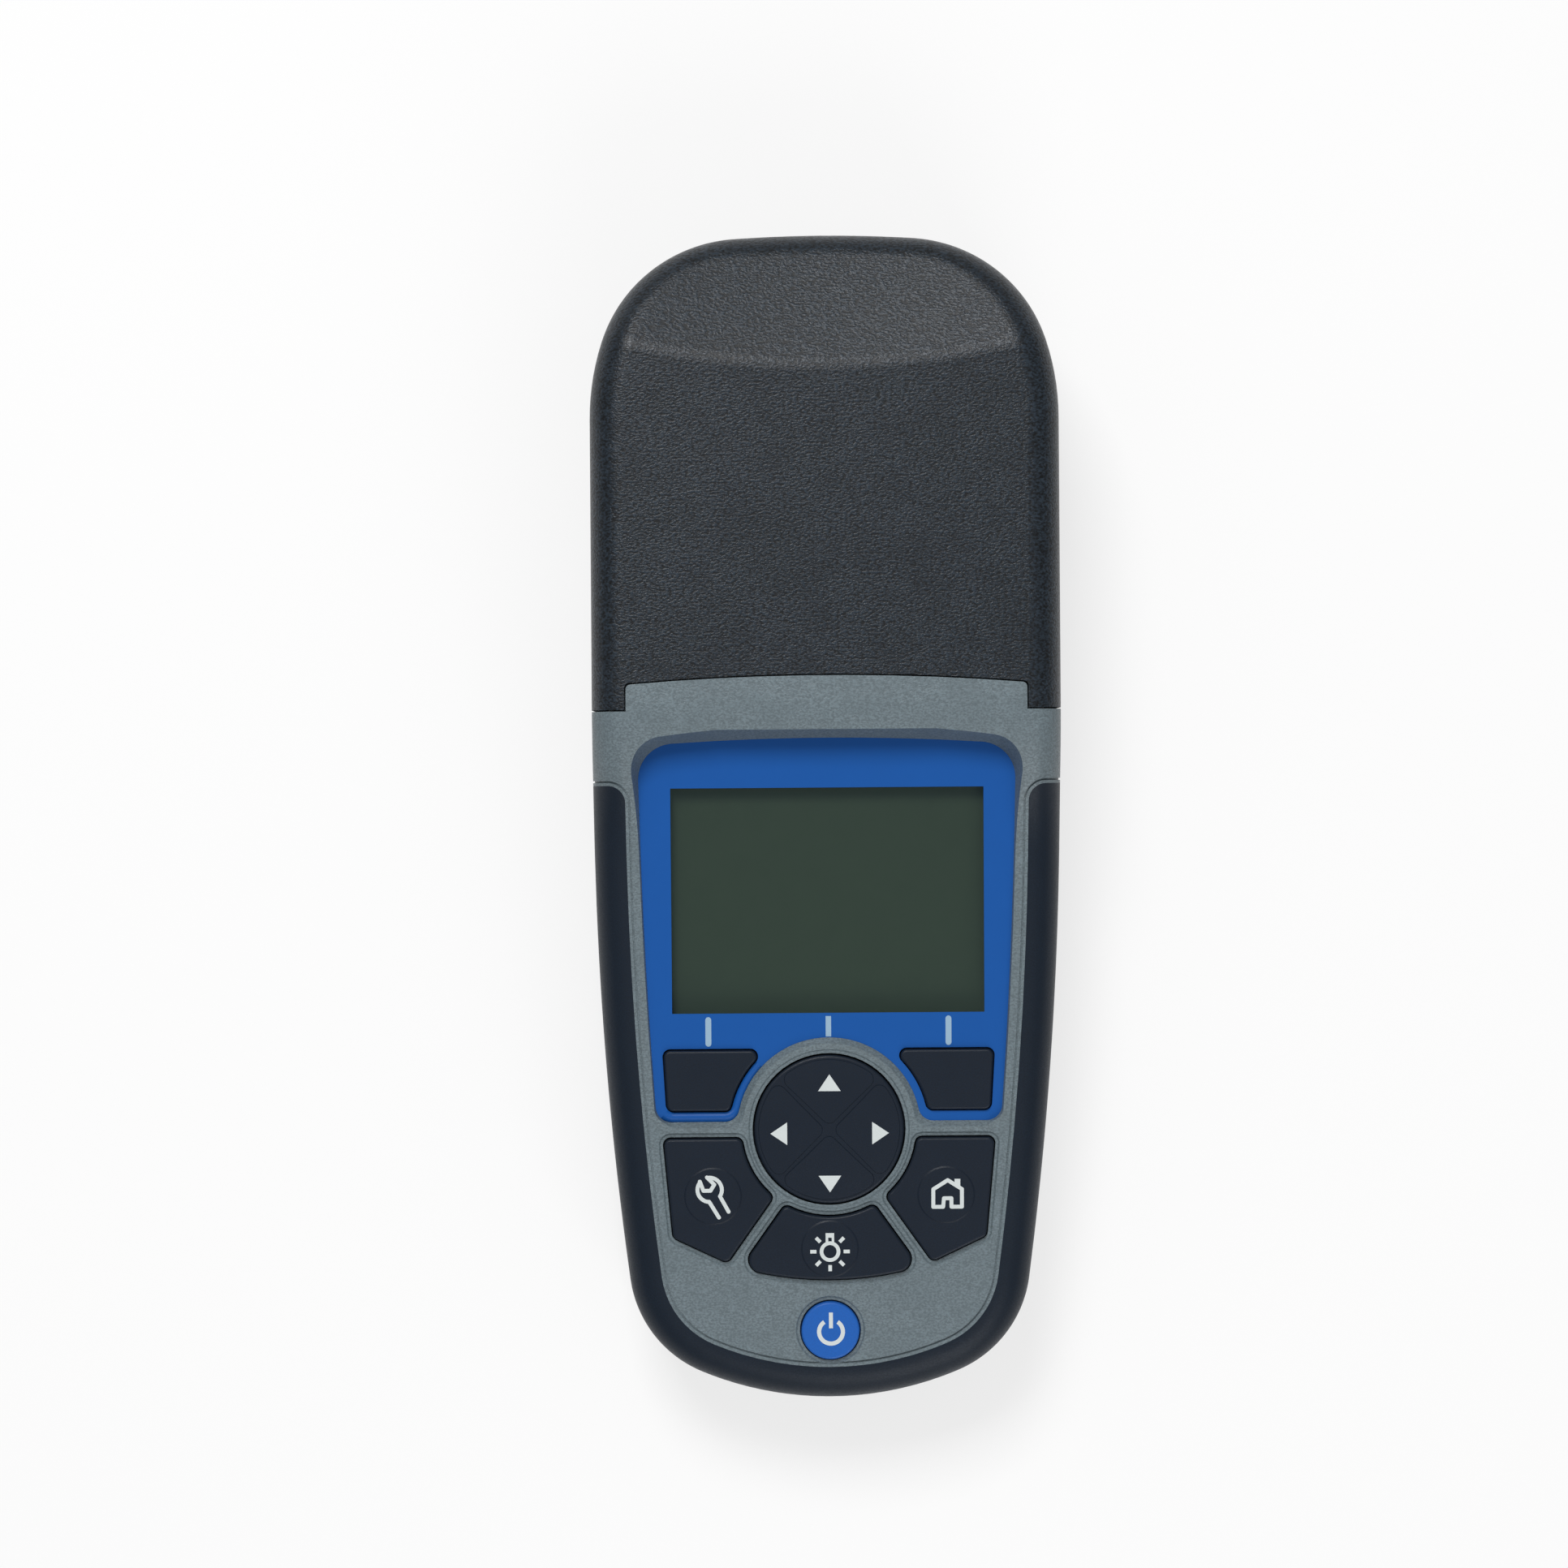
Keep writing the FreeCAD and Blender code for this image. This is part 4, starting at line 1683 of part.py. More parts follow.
def make_cell_holder():
    """Build the cell holder: a blind tube, its flange and the two bored light arms."""
    body = new_body("cell_holder")
    bind(body, Placement__Base__y="well_y")
    profile = new_sketch(body, "profile", role="XZ_Plane")
    tube = "well_radius + well_wall"
    add_polygon(profile, [
        ("0", HOLDER_BASE), (tube, HOLDER_BASE), (tube, HOLDER_TOP_TEXT), ("well_radius", HOLDER_TOP_TEXT),
        ("well_radius", HOLDER_BASE + " + well_floor"), ("0", HOLDER_BASE + " + well_floor"),
    ])
    add_revolution(body, profile)
    arms = new_sketch(body, "arms", "-arm_reach", role="YZ_Plane")
    add_rectangle(arms, "-arm_half_length", "arm_half_length",
                  "light_height - arm_half_height", "light_height + arm_half_height")
    add_pad(body, arms, "2 * arm_reach")
    flange = new_sketch(body, "flange", FLANGE_TOP_TEXT + " - holder_flange_thickness")
    add_rectangle(flange, "-holder_flange_half", "holder_flange_half", "-holder_flange_half", "holder_flange_half")
    add_pad(body, flange, "holder_flange_thickness")
    bore = new_sketch(body, "bore", HOLDER_TOP_TEXT)
    add_circle(bore, "0", "0", "well_radius")
    add_pocket(body, bore, "(" + HOLDER_TOP_TEXT + ") - (" + HOLDER_BASE + ") - well_floor")
    for index, (level, depth) in enumerate((("arm_reach", "arm_reach - arm_bore_end"),
                                            ("-arm_bore_end", "arm_reach - arm_bore_end"))):
        light = new_sketch(body, "light_bore_%d" % index, level, role="YZ_Plane")
        add_circle(light, "0", "light_height", "light_bore_radius")
        add_pocket(body, light, depth)
        screws = new_sketch(body, "screw_holes_%d" % index, level if index == 0 else "optics_hole_depth - arm_reach", role="YZ_Plane")
        for y in ("-optics_screw_y", "optics_screw_y"):
            add_circle(screws, y, "light_height", "optics_screw_radius + screw_fit")
        add_pocket(body, screws, "optics_hole_depth")
    port = new_sketch(body, "port", "arm_reach", role="YZ_Plane")
    add_circle(port, "0", "light_height", "light_port_radius")
    add_pocket(body, port, "2 * arm_reach")
    holes = new_sketch(body, "flange_holes", FLANGE_TOP_TEXT)
    for x in ("-holder_screw_reach", "holder_screw_reach"):
        for y in ("-holder_screw_reach", "holder_screw_reach"):
            add_circle(holes, x, y, "board_screw_radius + hole_play")
    add_pocket(body, holes, "holder_flange_thickness")
    leaf_back = "well_radius + leaf_recess + leaf_thickness + leaf_play"
    slot = new_sketch(body, "leaf_slot", leaf_back, role="XZ_Plane")
    add_rectangle(slot, "-leaf_width / 2 - leaf_play", "leaf_width / 2 + leaf_play",
                  "light_height - leaf_height / 2 - leaf_play", "light_height + leaf_height / 2 + leaf_play")
    add_pocket(body, slot, "2 * (leaf_recess + leaf_thickness + leaf_play)")


def make_optics_boards():
    """Build the lamp board, the detector board and the round pieces in the arms."""
    for label, level in (("led_board", "-arm_reach - board_thickness"), ("detector_board", "arm_reach")):
        body = new_body(label)
        bind(body, Placement__Base__y="well_y")
        sketch = new_sketch(body, "outline", level, role="YZ_Plane")
        add_rectangle(sketch, "-arm_half_length", "arm_half_length",
                      "light_height - arm_half_height", "light_height + arm_half_height + optics_board_rise")
        for y in ("-optics_screw_y", "optics_screw_y"):
            add_circle(sketch, y, "light_height", "optics_screw_radius + screw_fit")
        add_pad(body, sketch, "board_thickness")

    discs = [
        ("photodiode", "arm_reach - diode_length", "diode_radius", "diode_length"),
        ("detector_filter", "arm_bore_end", "light_bore_radius - lens_play", "filter_thickness"),
    ]
    for label, level, radius, length in discs:
        body = new_body(label)
        bind(body, Placement__Base__y="well_y")
        sketch = new_sketch(body, "outline", level, role="YZ_Plane")
        add_circle(sketch, "0", "light_height", radius)
        add_pad(body, sketch, length)

    lens = new_body("source_lens")
    lens.Placement = Placement(Vector(0, 0, 0), Rotation(Z_AXIS, -90))
    bind(lens, Placement__Base__x="-arm_bore_end - lens_thickness", Placement__Base__y="well_y",
         Placement__Base__z="light_height")
    profile = new_sketch(lens, "profile")
    radius = "(light_bore_radius - lens_play)"
    add_polygon(profile, [
        ("0", "0"), ("0.6 * " + radius, "0.12 * lens_thickness"), (radius, "0.4 * lens_thickness"),
        (radius, "lens_thickness"), ("0", "lens_thickness"),
    ])
    add_revolution(lens, profile)


def make_well_seal():
    """Build the light seal round the well's mouth."""
    body = new_body("well_light_seal")
    bind(body, Placement__Base__y="well_y")
    level = "foot_height + body_thickness - cap_wall - cap_clearance - well_seal_sink"
    sketch = new_sketch(body, "ring", level)
    inner = "well_radius + well_wall + well_seal_gap"
    add_circle(sketch, "0", "0", inner)
    add_circle(sketch, "0", "0", inner + " + well_seal_width")
    add_pad(body, sketch, "well_seal_sink + well_seal_rise")


def make_feet():
    """Build the four round feet in their seats."""
    feet = []
    for index, (x, y) in enumerate((("-low_foot_x", "low_foot_y"), ("low_foot_x", "low_foot_y"),
                                    ("-high_foot_x", "high_foot_y"), ("high_foot_x", "high_foot_y"))):
        foot = DOCUMENT.addObject("Part::Cylinder", "foot_%d" % (index + 1))
        bind(foot, Radius="foot_radius", Height="foot_height + foot_sink",
             Placement__Base__x=x, Placement__Base__y=y)
        feet.append(foot)
    group = DOCUMENT.addObject("Part::Compound", "rubber_feet")
    group.Links = feet
    NODES.append(group)


def check_document():
    """Stop if any object failed or any sub-part's shape is empty or invalid."""
    for item in DOCUMENT.Objects:
        if any(word in ("Invalid", "Error") for word in item.State):
            raise RuntimeError("%s did not build: %s" % (item.Label, item.State))
    faulty = [node.Label for node in NODES
              if node.Shape.isNull() or not node.Shape.isValid() or not node.Shape.Solids]
    if faulty:
        raise RuntimeError("no valid solid: " + ", ".join(faulty))


def export_parts():
    """Write each sub-part to its own file."""
    os.makedirs("parts", exist_ok=True)
    for node in NODES:
        node.Shape.exportStep("parts/%s.step" % node.Label)
        box = node.Shape.BoundBox
        print("%-22s %2d solids %9.1f mm3  x %6.1f %6.1f  y %7.1f %7.1f  z %5.1f %5.1f" % (
            node.Label, len(node.Shape.Solids), node.Shape.Volume,
            box.XMin, box.XMax, box.YMin, box.YMax, box.ZMin, box.ZMax))


make_mouldings()
make_front_pieces()
make_battery_pieces()
make_optics_pieces()
make_keypad_board()
make_main_board()
make_board_header()
make_clock_cell()
make_board_chips()
make_display()
make_nav_pivot()
make_batteries()
make_cell_holder()
make_optics_boards()
make_well_seal()
make_feet()
DOCUMENT.recompute()
check_document()
export_parts()
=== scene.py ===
"""Portable colorimeter: its finishes, printed marks and studio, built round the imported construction.

All lengths are metres in the frame of the construction: +Z out of the front face, +Y towards the cap.
"""

import json
import logging
import math
from dataclasses import dataclass
from enum import Enum

import bmesh
import bpy
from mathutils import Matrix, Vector
from mathutils.bvhtree import BVHTree
from mathutils.geometry import delaunay_2d_cdt


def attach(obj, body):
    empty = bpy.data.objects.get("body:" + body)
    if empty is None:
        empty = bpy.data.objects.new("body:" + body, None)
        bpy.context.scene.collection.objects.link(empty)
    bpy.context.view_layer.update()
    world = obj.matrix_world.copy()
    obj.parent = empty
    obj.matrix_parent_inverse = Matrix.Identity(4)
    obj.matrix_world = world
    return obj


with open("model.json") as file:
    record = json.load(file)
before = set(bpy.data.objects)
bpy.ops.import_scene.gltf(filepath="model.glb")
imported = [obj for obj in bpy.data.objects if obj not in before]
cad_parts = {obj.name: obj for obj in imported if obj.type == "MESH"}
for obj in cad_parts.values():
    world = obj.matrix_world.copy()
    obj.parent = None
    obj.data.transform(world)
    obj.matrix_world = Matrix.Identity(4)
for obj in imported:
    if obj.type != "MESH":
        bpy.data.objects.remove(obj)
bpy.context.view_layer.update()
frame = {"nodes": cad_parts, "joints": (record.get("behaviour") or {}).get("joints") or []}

LOG = logging.getLogger("colorimeter")
MM = 0.001
UP = Vector((0.0, 0.0, 1.0))
ACROSS = Vector((1.0, 0.0, 0.0))
ALONG = Vector((0.0, 1.0, 0.0))
ON_PLANE = 1e-7
NOISE_REACH = (0.3, 0.7)


class Grain(Enum):
    """Moulded textures: size of one grain, its height, and how much of it stays in the calm patches."""

    COARSE = (0.42 * MM, 0.04 * MM, 0.8)
    FINE = (0.36 * MM, 0.035 * MM, 0.75)
    SATIN = (0.24 * MM, 0.008 * MM, 0.7)

    @property
    def size(self) -> float:
        """Length of one grain."""
        return self.value[0]

    @property
    def height(self) -> float:
        """Height of a grain over its valleys."""
        return self.value[1]

    @property
    def calm(self) -> float:
        """Share of the height that is left in the calm patches."""
        return self.value[2]


class Edge(Enum):
    """How a printed stroke ends."""

    ROUND = "round"
    SQUARE = "square"


def linear(colour: tuple[float, float, float], gain: float = 1.0) -> tuple[float, float, float, float]:
    """Turns a colour as it is seen into the light that a shader works with.

    Args:
        colour: red, green and blue from 0 to 255.
        gain: how much lighter or darker the surface is made.

    Returns:
        Red, green, blue and an opacity of one.
    """
    shares = [channel / 255.0 for channel in colour]
    light = [share / 12.92 if share <= 0.04045 else ((share + 0.055) / 1.055) ** 2.4 for share in shares]
    return (*(min(1.0, gain * channel) for channel in light), 1.0)


class Recipe:
    """A procedural material under construction round one principled shader."""

    octave_share = 0.55
    swirl = 0.25

    def __init__(self, name: str) -> None:
        """Starts the material and reads the place of each point from the object itself."""
        self.material = bpy.data.materials.new(name)
        self.material.use_nodes = True
        self.tree = self.material.node_tree
        self.shader = self.tree.nodes["Principled BSDF"]
        self.place = self.tree.nodes.new("ShaderNodeTexCoord").outputs["Object"]

    def set(self, **sockets: object) -> None:
        """Sets sockets of the shader that are the same all over the surface."""
        for name, value in sockets.items():
            self.shader.inputs[name.replace("_", " ")].default_value = value

    def link(self, source: bpy.types.NodeSocket, target: str) -> None:
        """Feeds a socket of the shader."""
        self.tree.links.new(source, self.shader.inputs[target])

    def stretched(self, scale: tuple[float, float, float]) -> bpy.types.NodeSocket:
        """Gives the place of each point with its axes scaled.

        Args:
            scale: factor for each axis; a factor under one draws the pattern out along it.

        Returns:
            The scaled place.
        """
        mapping = self.tree.nodes.new("ShaderNodeMapping")
        mapping.inputs["Scale"].default_value = scale
        self.tree.links.new(self.place, mapping.inputs["Vector"])
        return mapping.outputs["Vector"]

    def noise(self, place: bpy.types.NodeSocket, size: float, detail: float = 2.0) -> bpy.types.NodeSocket:
        """Adds a cloudy pattern.

        Args:
            place: where each point lies.
            size: length of one cloud.
            detail: how many finer layers it has.

        Returns:
            The pattern's value.
        """
        texture = self.tree.nodes.new("ShaderNodeTexNoise")
        texture.inputs["Scale"].default_value = 1.0 / size
        texture.inputs["Detail"].default_value = detail
        texture.inputs["Roughness"].default_value = self.octave_share
        texture.inputs["Distortion"].default_value = self.swirl
        self.tree.links.new(place, texture.inputs["Vector"])
        return texture.outputs["Fac"]

    def spread(self, value: bpy.types.NodeSocket, window: tuple[float, float],
               result: tuple[float, float]) -> bpy.types.NodeSocket:
        """Maps one range of a value on another.

        Args:
            value: the value.
            window: the range that is read.
            result: the range that it becomes.

        Returns:
            The mapped value, held inside the result's range.
        """
        node = self.tree.nodes.new("ShaderNodeMapRange")
        for name, number in zip(("From Min", "From Max", "To Min", "To Max"), (*window, *result)):
            node.inputs[name].default_value = number
        self.tree.links.new(value, node.inputs["Value"])
        return node.outputs["Result"]

    def times(self, first: bpy.types.NodeSocket, second: bpy.types.NodeSocket) -> bpy.types.NodeSocket:
        """Multiplies two values."""
        node = self.tree.nodes.new("ShaderNodeMath")
        node.operation = "MULTIPLY"
        self.tree.links.new(first, node.inputs[0])
        self.tree.links.new(second, node.inputs[1])
        return node.outputs["Value"]

    def tint(self, factor: bpy.types.NodeSocket, low: tuple[float, ...], high: tuple[float, ...]) -> None:
        """Colours the surface between two tones.

        Args:
            factor: zero for the first tone, one for the second.
            low: the first tone.
            high: the second tone.
        """
        node = self.tree.nodes.new("ShaderNodeMix")
        node.data_type = "RGBA"
        node.inputs[6].default_value = low
        node.inputs[7].default_value = high
        self.tree.links.new(factor, node.inputs[0])
        self.link(node.outputs[2], "Base Color")

    def relief(self, height: bpy.types.NodeSocket, depth: float) -> None:
        """Raises the surface by a value.

        Args:
            height: the value, zero in the valleys and one on the tops.
            depth: the real height of a value of one.
        """
        node = self.tree.nodes.new("ShaderNodeBump")
        node.inputs["Distance"].default_value = depth
        self.tree.links.new(height, node.inputs["Height"])
        self.link(node.outputs["Normal"], "Normal")


@dataclass(frozen=True)
class Moulding:
    """A moulded plastic or rubber with a spark-eroded grain, its valleys coloured darker and its tops lighter
    as painted shade and painted glints.
    """

    colour: tuple[float, float, float]
    grain: Grain
    roughness: float
    # Share by which grain valleys are coloured darker and tops lighter: partly the grain's own tone, partly
    # painted shade in the valleys and painted glints on the tops.
    grain_tone_and_shade: float = 0.15
    specular: float = 0.5
    across: float = 0.7
    patch: float = 7.0 * MM
    grain_window: tuple[float, float] = (0.38, 0.64)
    patch_window: tuple[float, float] = (0.35, 0.6)
    gloss_swing: float = 0.06

    def material(self, name: str) -> bpy.types.Material:
        """Builds the finish.

        Args:
            name: what the material is called.

        Returns:
            The material.
        """
        recipe = Recipe(name)
        recipe.set(Specular_IOR_Level=self.specular)
        grain = recipe.noise(recipe.stretched((self.across, 1.0, 1.0)), self.grain.size)
        sharp = recipe.spread(grain, self.grain_window, (0.0, 1.0))
        patches = recipe.noise(recipe.place, self.patch)
        strength = recipe.spread(patches, self.patch_window, (self.grain.calm, 1.0))
        height = recipe.times(sharp, strength)
        # Painted shade and glints: the grain's valleys take the darker tone and its tops the lighter one, on
        # top of the real bump.
        tones = (linear(self.colour, 1.0 - self.grain_tone_and_shade), linear(self.colour, 1.0 + self.grain_tone_and_shade))
        recipe.tint(height, *tones)
        gloss = (self.roughness + self.gloss_swing, self.roughness - self.gloss_swing)
        recipe.link(recipe.spread(sharp, (0.0, 1.0), gloss), "Roughness")
        recipe.relief(height, self.grain.height)
        return recipe.material


@dataclass(frozen=True)
class Enamel:
    """A printed or painted layer: even colour, faint mottling and a gloss of its own."""

    colour: tuple[float, float, float]
    roughness: float
    coat: float = 0.0
    specular: float = 0.4
    mottling: float = 0.04
    patch: float = 5.0 * MM
    coat_roughness: float = 0.08
    gloss_swing: float = 0.04
    ripple: float = 0.3 * MM
    ripple_height: float = 0.002 * MM

    def material(self, name: str) -> bpy.types.Material:
        """Builds the finish.

        Args:
            name: what the material is called.

        Returns:
            The material.
        """
        recipe = Recipe(name)
        recipe.set(Coat_Weight=self.coat, Coat_Roughness=self.coat_roughness)
        recipe.set(Specular_IOR_Level=self.specular)
        cloud = recipe.noise(recipe.place, self.patch)
        recipe.tint(cloud, linear(self.colour, 1.0 - self.mottling), linear(self.colour, 1.0 + self.mottling))
        fine = recipe.noise(recipe.place, self.ripple)
        gloss = (self.roughness - self.gloss_swing, self.roughness + self.gloss_swing)
        recipe.link(recipe.spread(fine, NOISE_REACH, gloss), "Roughness")
        recipe.relief(fine, self.ripple_height)
        return recipe.material


@dataclass(frozen=True)
class Metal:
    """A plated or bare metal with fine drawn marks."""

    colour: tuple[float, float, float]
    roughness: float
    drawn: tuple[float, float, float] = (1.0, 1.0, 0.15)
    mark: float = 0.12 * MM
    mark_layers: float = 3.0
    mark_height: float = 0.004 * MM
    tones: tuple[float, float] = (0.8, 1.15)
    smoother: float = 0.08
    rougher: float = 0.1

    def material(self, name: str) -> bpy.types.Material:
        """Builds the finish.

        Args:
            name: what the material is called.

        Returns:
            The material.
        """
        recipe = Recipe(name)
        recipe.set(Metallic=1.0)
        marks = recipe.noise(recipe.stretched(self.drawn), self.mark, self.mark_layers)
        recipe.tint(marks, *(linear(self.colour, tone) for tone in self.tones))
        gloss = (self.roughness - self.smoother, self.roughness + self.rougher)
        recipe.link(recipe.spread(marks, NOISE_REACH, gloss), "Roughness")
        recipe.relief(marks, self.mark_height)
        return recipe.material


@dataclass(frozen=True)
class ClearPart:
    """A clear moulding or glass that is seen through, with a faint haze."""

    colour: tuple[float, float, float]
    opacity: float
    roughness: float = 0.06
    cloud: float = 2.0 * MM
    mottling: float = 0.08
    haze: float = 0.05

    def material(self, name: str) -> bpy.types.Material:
        """Builds the finish.

        Args:
            name: what the material is called.

        Returns:
            The material.
        """
        recipe = Recipe(name)
        recipe.set(Alpha=self.opacity)
        cloud = recipe.noise(recipe.place, self.cloud)
        recipe.tint(cloud, linear(self.colour, 1.0 - self.mottling), linear(self.colour, 1.0 + self.mottling))
        gloss = (self.roughness, self.roughness + self.haze)
        recipe.link(recipe.spread(cloud, NOISE_REACH, gloss), "Roughness")
        return recipe.material


@dataclass(frozen=True)
class Bar:
    """A straight printed stroke, in millimetres in plan."""

    start: tuple[float, float]
    end: tuple[float, float]
    width: float
    edge: Edge = Edge.ROUND
    turns: int = 8

    def outline(self) -> list[Vector]:
        """Gives the stroke's outline, round its two ends."""
        start = Vector(self.start)
        end = Vector(self.end)
        heading = math.atan2(end.y - start.y, end.x - start.x)
        points = []
        for centre, facing in ((end, heading), (start, heading + math.pi)):
            steps = self.turns if self.edge is Edge.ROUND else 1
            for step in range(steps + 1):
                angle = facing - math.pi / 2 + math.pi * step / steps
                points.append(centre + self.width / 2 * Vector((math.cos(angle), math.sin(angle))))
        return points


@dataclass(frozen=True)
class Arc:
    """A curved printed stroke about a centre, in millimetres in plan and degrees."""

    centre: tuple[float, float]
    radius: float
    first: float
    last: float
    width: float
    step: float = 10.0

    def outline(self) -> list[Vector]:
        """Gives the stroke's outline, out along its outer side and back along the inner one."""
        steps = max(2, round(abs(self.last - self.first) / self.step))
        angles = [math.radians(self.first + (self.last - self.first) * n / steps) for n in range(steps + 1)]
        outer = self.radius + self.width / 2
        inner = self.radius - self.width / 2
        centre = Vector(self.centre)
        there = [centre + outer * Vector((math.cos(a), math.sin(a))) for a in angles]
        back = [centre + inner * Vector((math.cos(a), math.sin(a))) for a in reversed(angles)]
        return there + back


@dataclass(frozen=True)
class Patch:
    """A filled printed shape with straight sides, in millimetres in plan."""

    corners: tuple[tuple[float, float], ...]

    def outline(self) -> list[Vector]:
        """Gives the shape's corners."""
        return [Vector(corner) for corner in self.corners]


Stroke = Bar | Arc | Patch


def path(points: list[tuple[float, float]], width: float) -> list[Stroke]:
    """Joins points with straight strokes.

    Args:
        points: the corners of the path.
        width: the strokes' width.

    Returns:
        One stroke for each stretch.
    """
    return [Bar(start, end, width) for start, end in zip(points, points[1:])]


@dataclass
class Printer:
    """Lays printed marks on the nodes that carry them."""

    cell: float = 0.5 * MM
    ink: float = 0.03 * MM
    high: float = 0.2
    joined: float = 1e-4
    level: float = 0.01

    def surface(self, node: str) -> BVHTree:
        """Gives a node's surface, ready to be hit by rays."""
        mesh = frame["nodes"][node].data
        return BVHTree.FromPolygons([v.co for v in mesh.vertices], [p.vertices for p in mesh.polygons])

    def sheet(self, strokes: list[Stroke]) -> bmesh.types.BMesh:
        """Unites strokes that may overlap into one flat sheet, cut into small cells.

        Args:
            strokes: the strokes of one mark.

        Returns:
            The sheet in plan, in metres.
        """
        corners: list[Vector] = []
        faces: list[list[int]] = []
        for stroke in strokes:
            outline = stroke.outline()
            if sum(a.cross(b) for a, b in zip(outline, outline[1:] + outline[:1])) < 0:
                outline.reverse()
            faces.append(list(range(len(corners), len(corners) + len(outline))))
            corners += outline
        united = delaunay_2d_cdt(corners, [], faces, 1, self.joined)
        sheet = bmesh.new()
        verts = [sheet.verts.new((p.x * MM, p.y * MM, 0.0)) for p in united[0]]
        for face, sources in zip(united[2], united[5]):
            if sources:
                sheet.faces.new([verts[i] for i in face])
        loose = [v for v in sheet.verts if not v.link_faces]
        bmesh.ops.delete(sheet, geom=loose, context="VERTS")
        bmesh.ops.dissolve_limit(sheet, angle_limit=self.level, verts=sheet.verts[:], edges=sheet.edges[:])
        for normal, low, high in self.cuts(sheet):
            place = math.ceil(low / self.cell) * self.cell
            while place < high:
                split(sheet, normal * place, normal)
                place += self.cell
        bmesh.ops.triangulate(sheet, faces=sheet.faces[:])
        return sheet

    def cuts(self, sheet: bmesh.types.BMesh) -> list[tuple[Vector, float, float]]:
        """Gives the two cutting directions with the sheet's reach along each."""
        found = []
        for normal in (ACROSS, ALONG):
            reach = [v.co.dot(normal) for v in sheet.verts]
            found.append((normal, min(reach), max(reach)))
        return found

    def lay(self, name: str, strokes: list[Stroke], node: str, body: str,
            finish: bpy.types.Material, above: float = 0.0) -> bpy.types.Object:
        """Lays a mark on a node, so that it follows the node's surface.

        Args:
            name: the piece's name.
            strokes: the mark's strokes.
            node: the node that carries it.
            body: the body that it moves with.
            finish: its material.
            above: thickness of the layer that it is printed over.

        Returns:
            The piece.
        """
        sheet = self.sheet(strokes)
        surface = self.surface(node)
        for vertex in sheet.verts:
            start = Vector((vertex.co.x, vertex.co.y, self.high))
            hit = surface.ray_cast(start, -UP)[0]
            if hit is None:
                raise ValueError(f"{name} reaches past {node}")
            vertex.co = hit + UP * (self.ink + above)
        bmesh.ops.recalc_face_normals(sheet, faces=sheet.faces[:])
        if sum(face.normal.z for face in sheet.faces) < 0:
            bmesh.ops.reverse_faces(sheet, faces=sheet.faces[:])
        piece = finished(name, sheet, finish)
        thickness(piece, self.ink)
        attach(piece, body)
        LOG.info("%s: %d faces on %s", name, len(piece.data.polygons), node)
        return piece


def split(shape: bmesh.types.BMesh, point: Vector, normal: Vector) -> None:
    """Cuts a shape's faces along a plane.

    Args:
        shape: the mesh.
        point: a point of the plane.
        normal: the plane's direction.
    """
    everything = shape.verts[:] + shape.edges[:] + shape.faces[:]
    bmesh.ops.bisect_plane(shape, geom=everything, dist=ON_PLANE, plane_co=point, plane_no=normal)


def finished(name: str, shape: bmesh.types.BMesh, finish: bpy.types.Material) -> bpy.types.Object:
    """Makes an object of a shape and gives it its material.

    Args:
        name: the piece's name.
        shape: its mesh, which is freed.
        finish: its material.

    Returns:
        The piece, linked to the scene.
    """
    mesh = bpy.data.meshes.new(name)
    shape.to_mesh(mesh)
    shape.free()
    mesh.materials.append(finish)
    piece = bpy.data.objects.new(name, mesh)
    bpy.context.scene.collection.objects.link(piece)
    return piece


def thickness(piece: bpy.types.Object, depth: float) -> None:
    """Gives a sheet its thickness, down from its top side.

    Args:
        piece: the sheet.
        depth: how thick it is.
    """
    wall = piece.modifiers.new("thickness", "SOLIDIFY")
    wall.thickness = depth
    wall.offset = -1.0


@dataclass
class Casing:
    """The outer mouldings: cap, grip, both housings and what shows on the back."""

    def finishes(self) -> dict[str, object]:
        """Gives the finish of each of the casing's material slots."""
        return {
            # The cap's grain carries strong painted shade in its valleys and painted glints on its tops,
            # besides its real bump.
            "cap_plastic": Moulding(
                (30, 38, 46), Grain.COARSE, 0.36, grain_tone_and_shade=0.85, specular=0.33, across=0.6
            ),
            "housing_grey": Moulding((107, 120, 126), Grain.FINE, 0.38, grain_tone_and_shade=0.22, specular=0.35),
            "housing_black": Moulding((34, 38, 43), Grain.COARSE, 0.5, specular=0.3),
            "grip_rubber": Moulding((22, 32, 44), Grain.SATIN, 0.45, specular=0.22),
            "foot_rubber": Moulding((28, 28, 30), Grain.SATIN, 0.75),
            "seal_rubber": Moulding((32, 33, 35), Grain.SATIN, 0.7),
            "screw_steel": Metal((150, 152, 155), 0.32),
        }


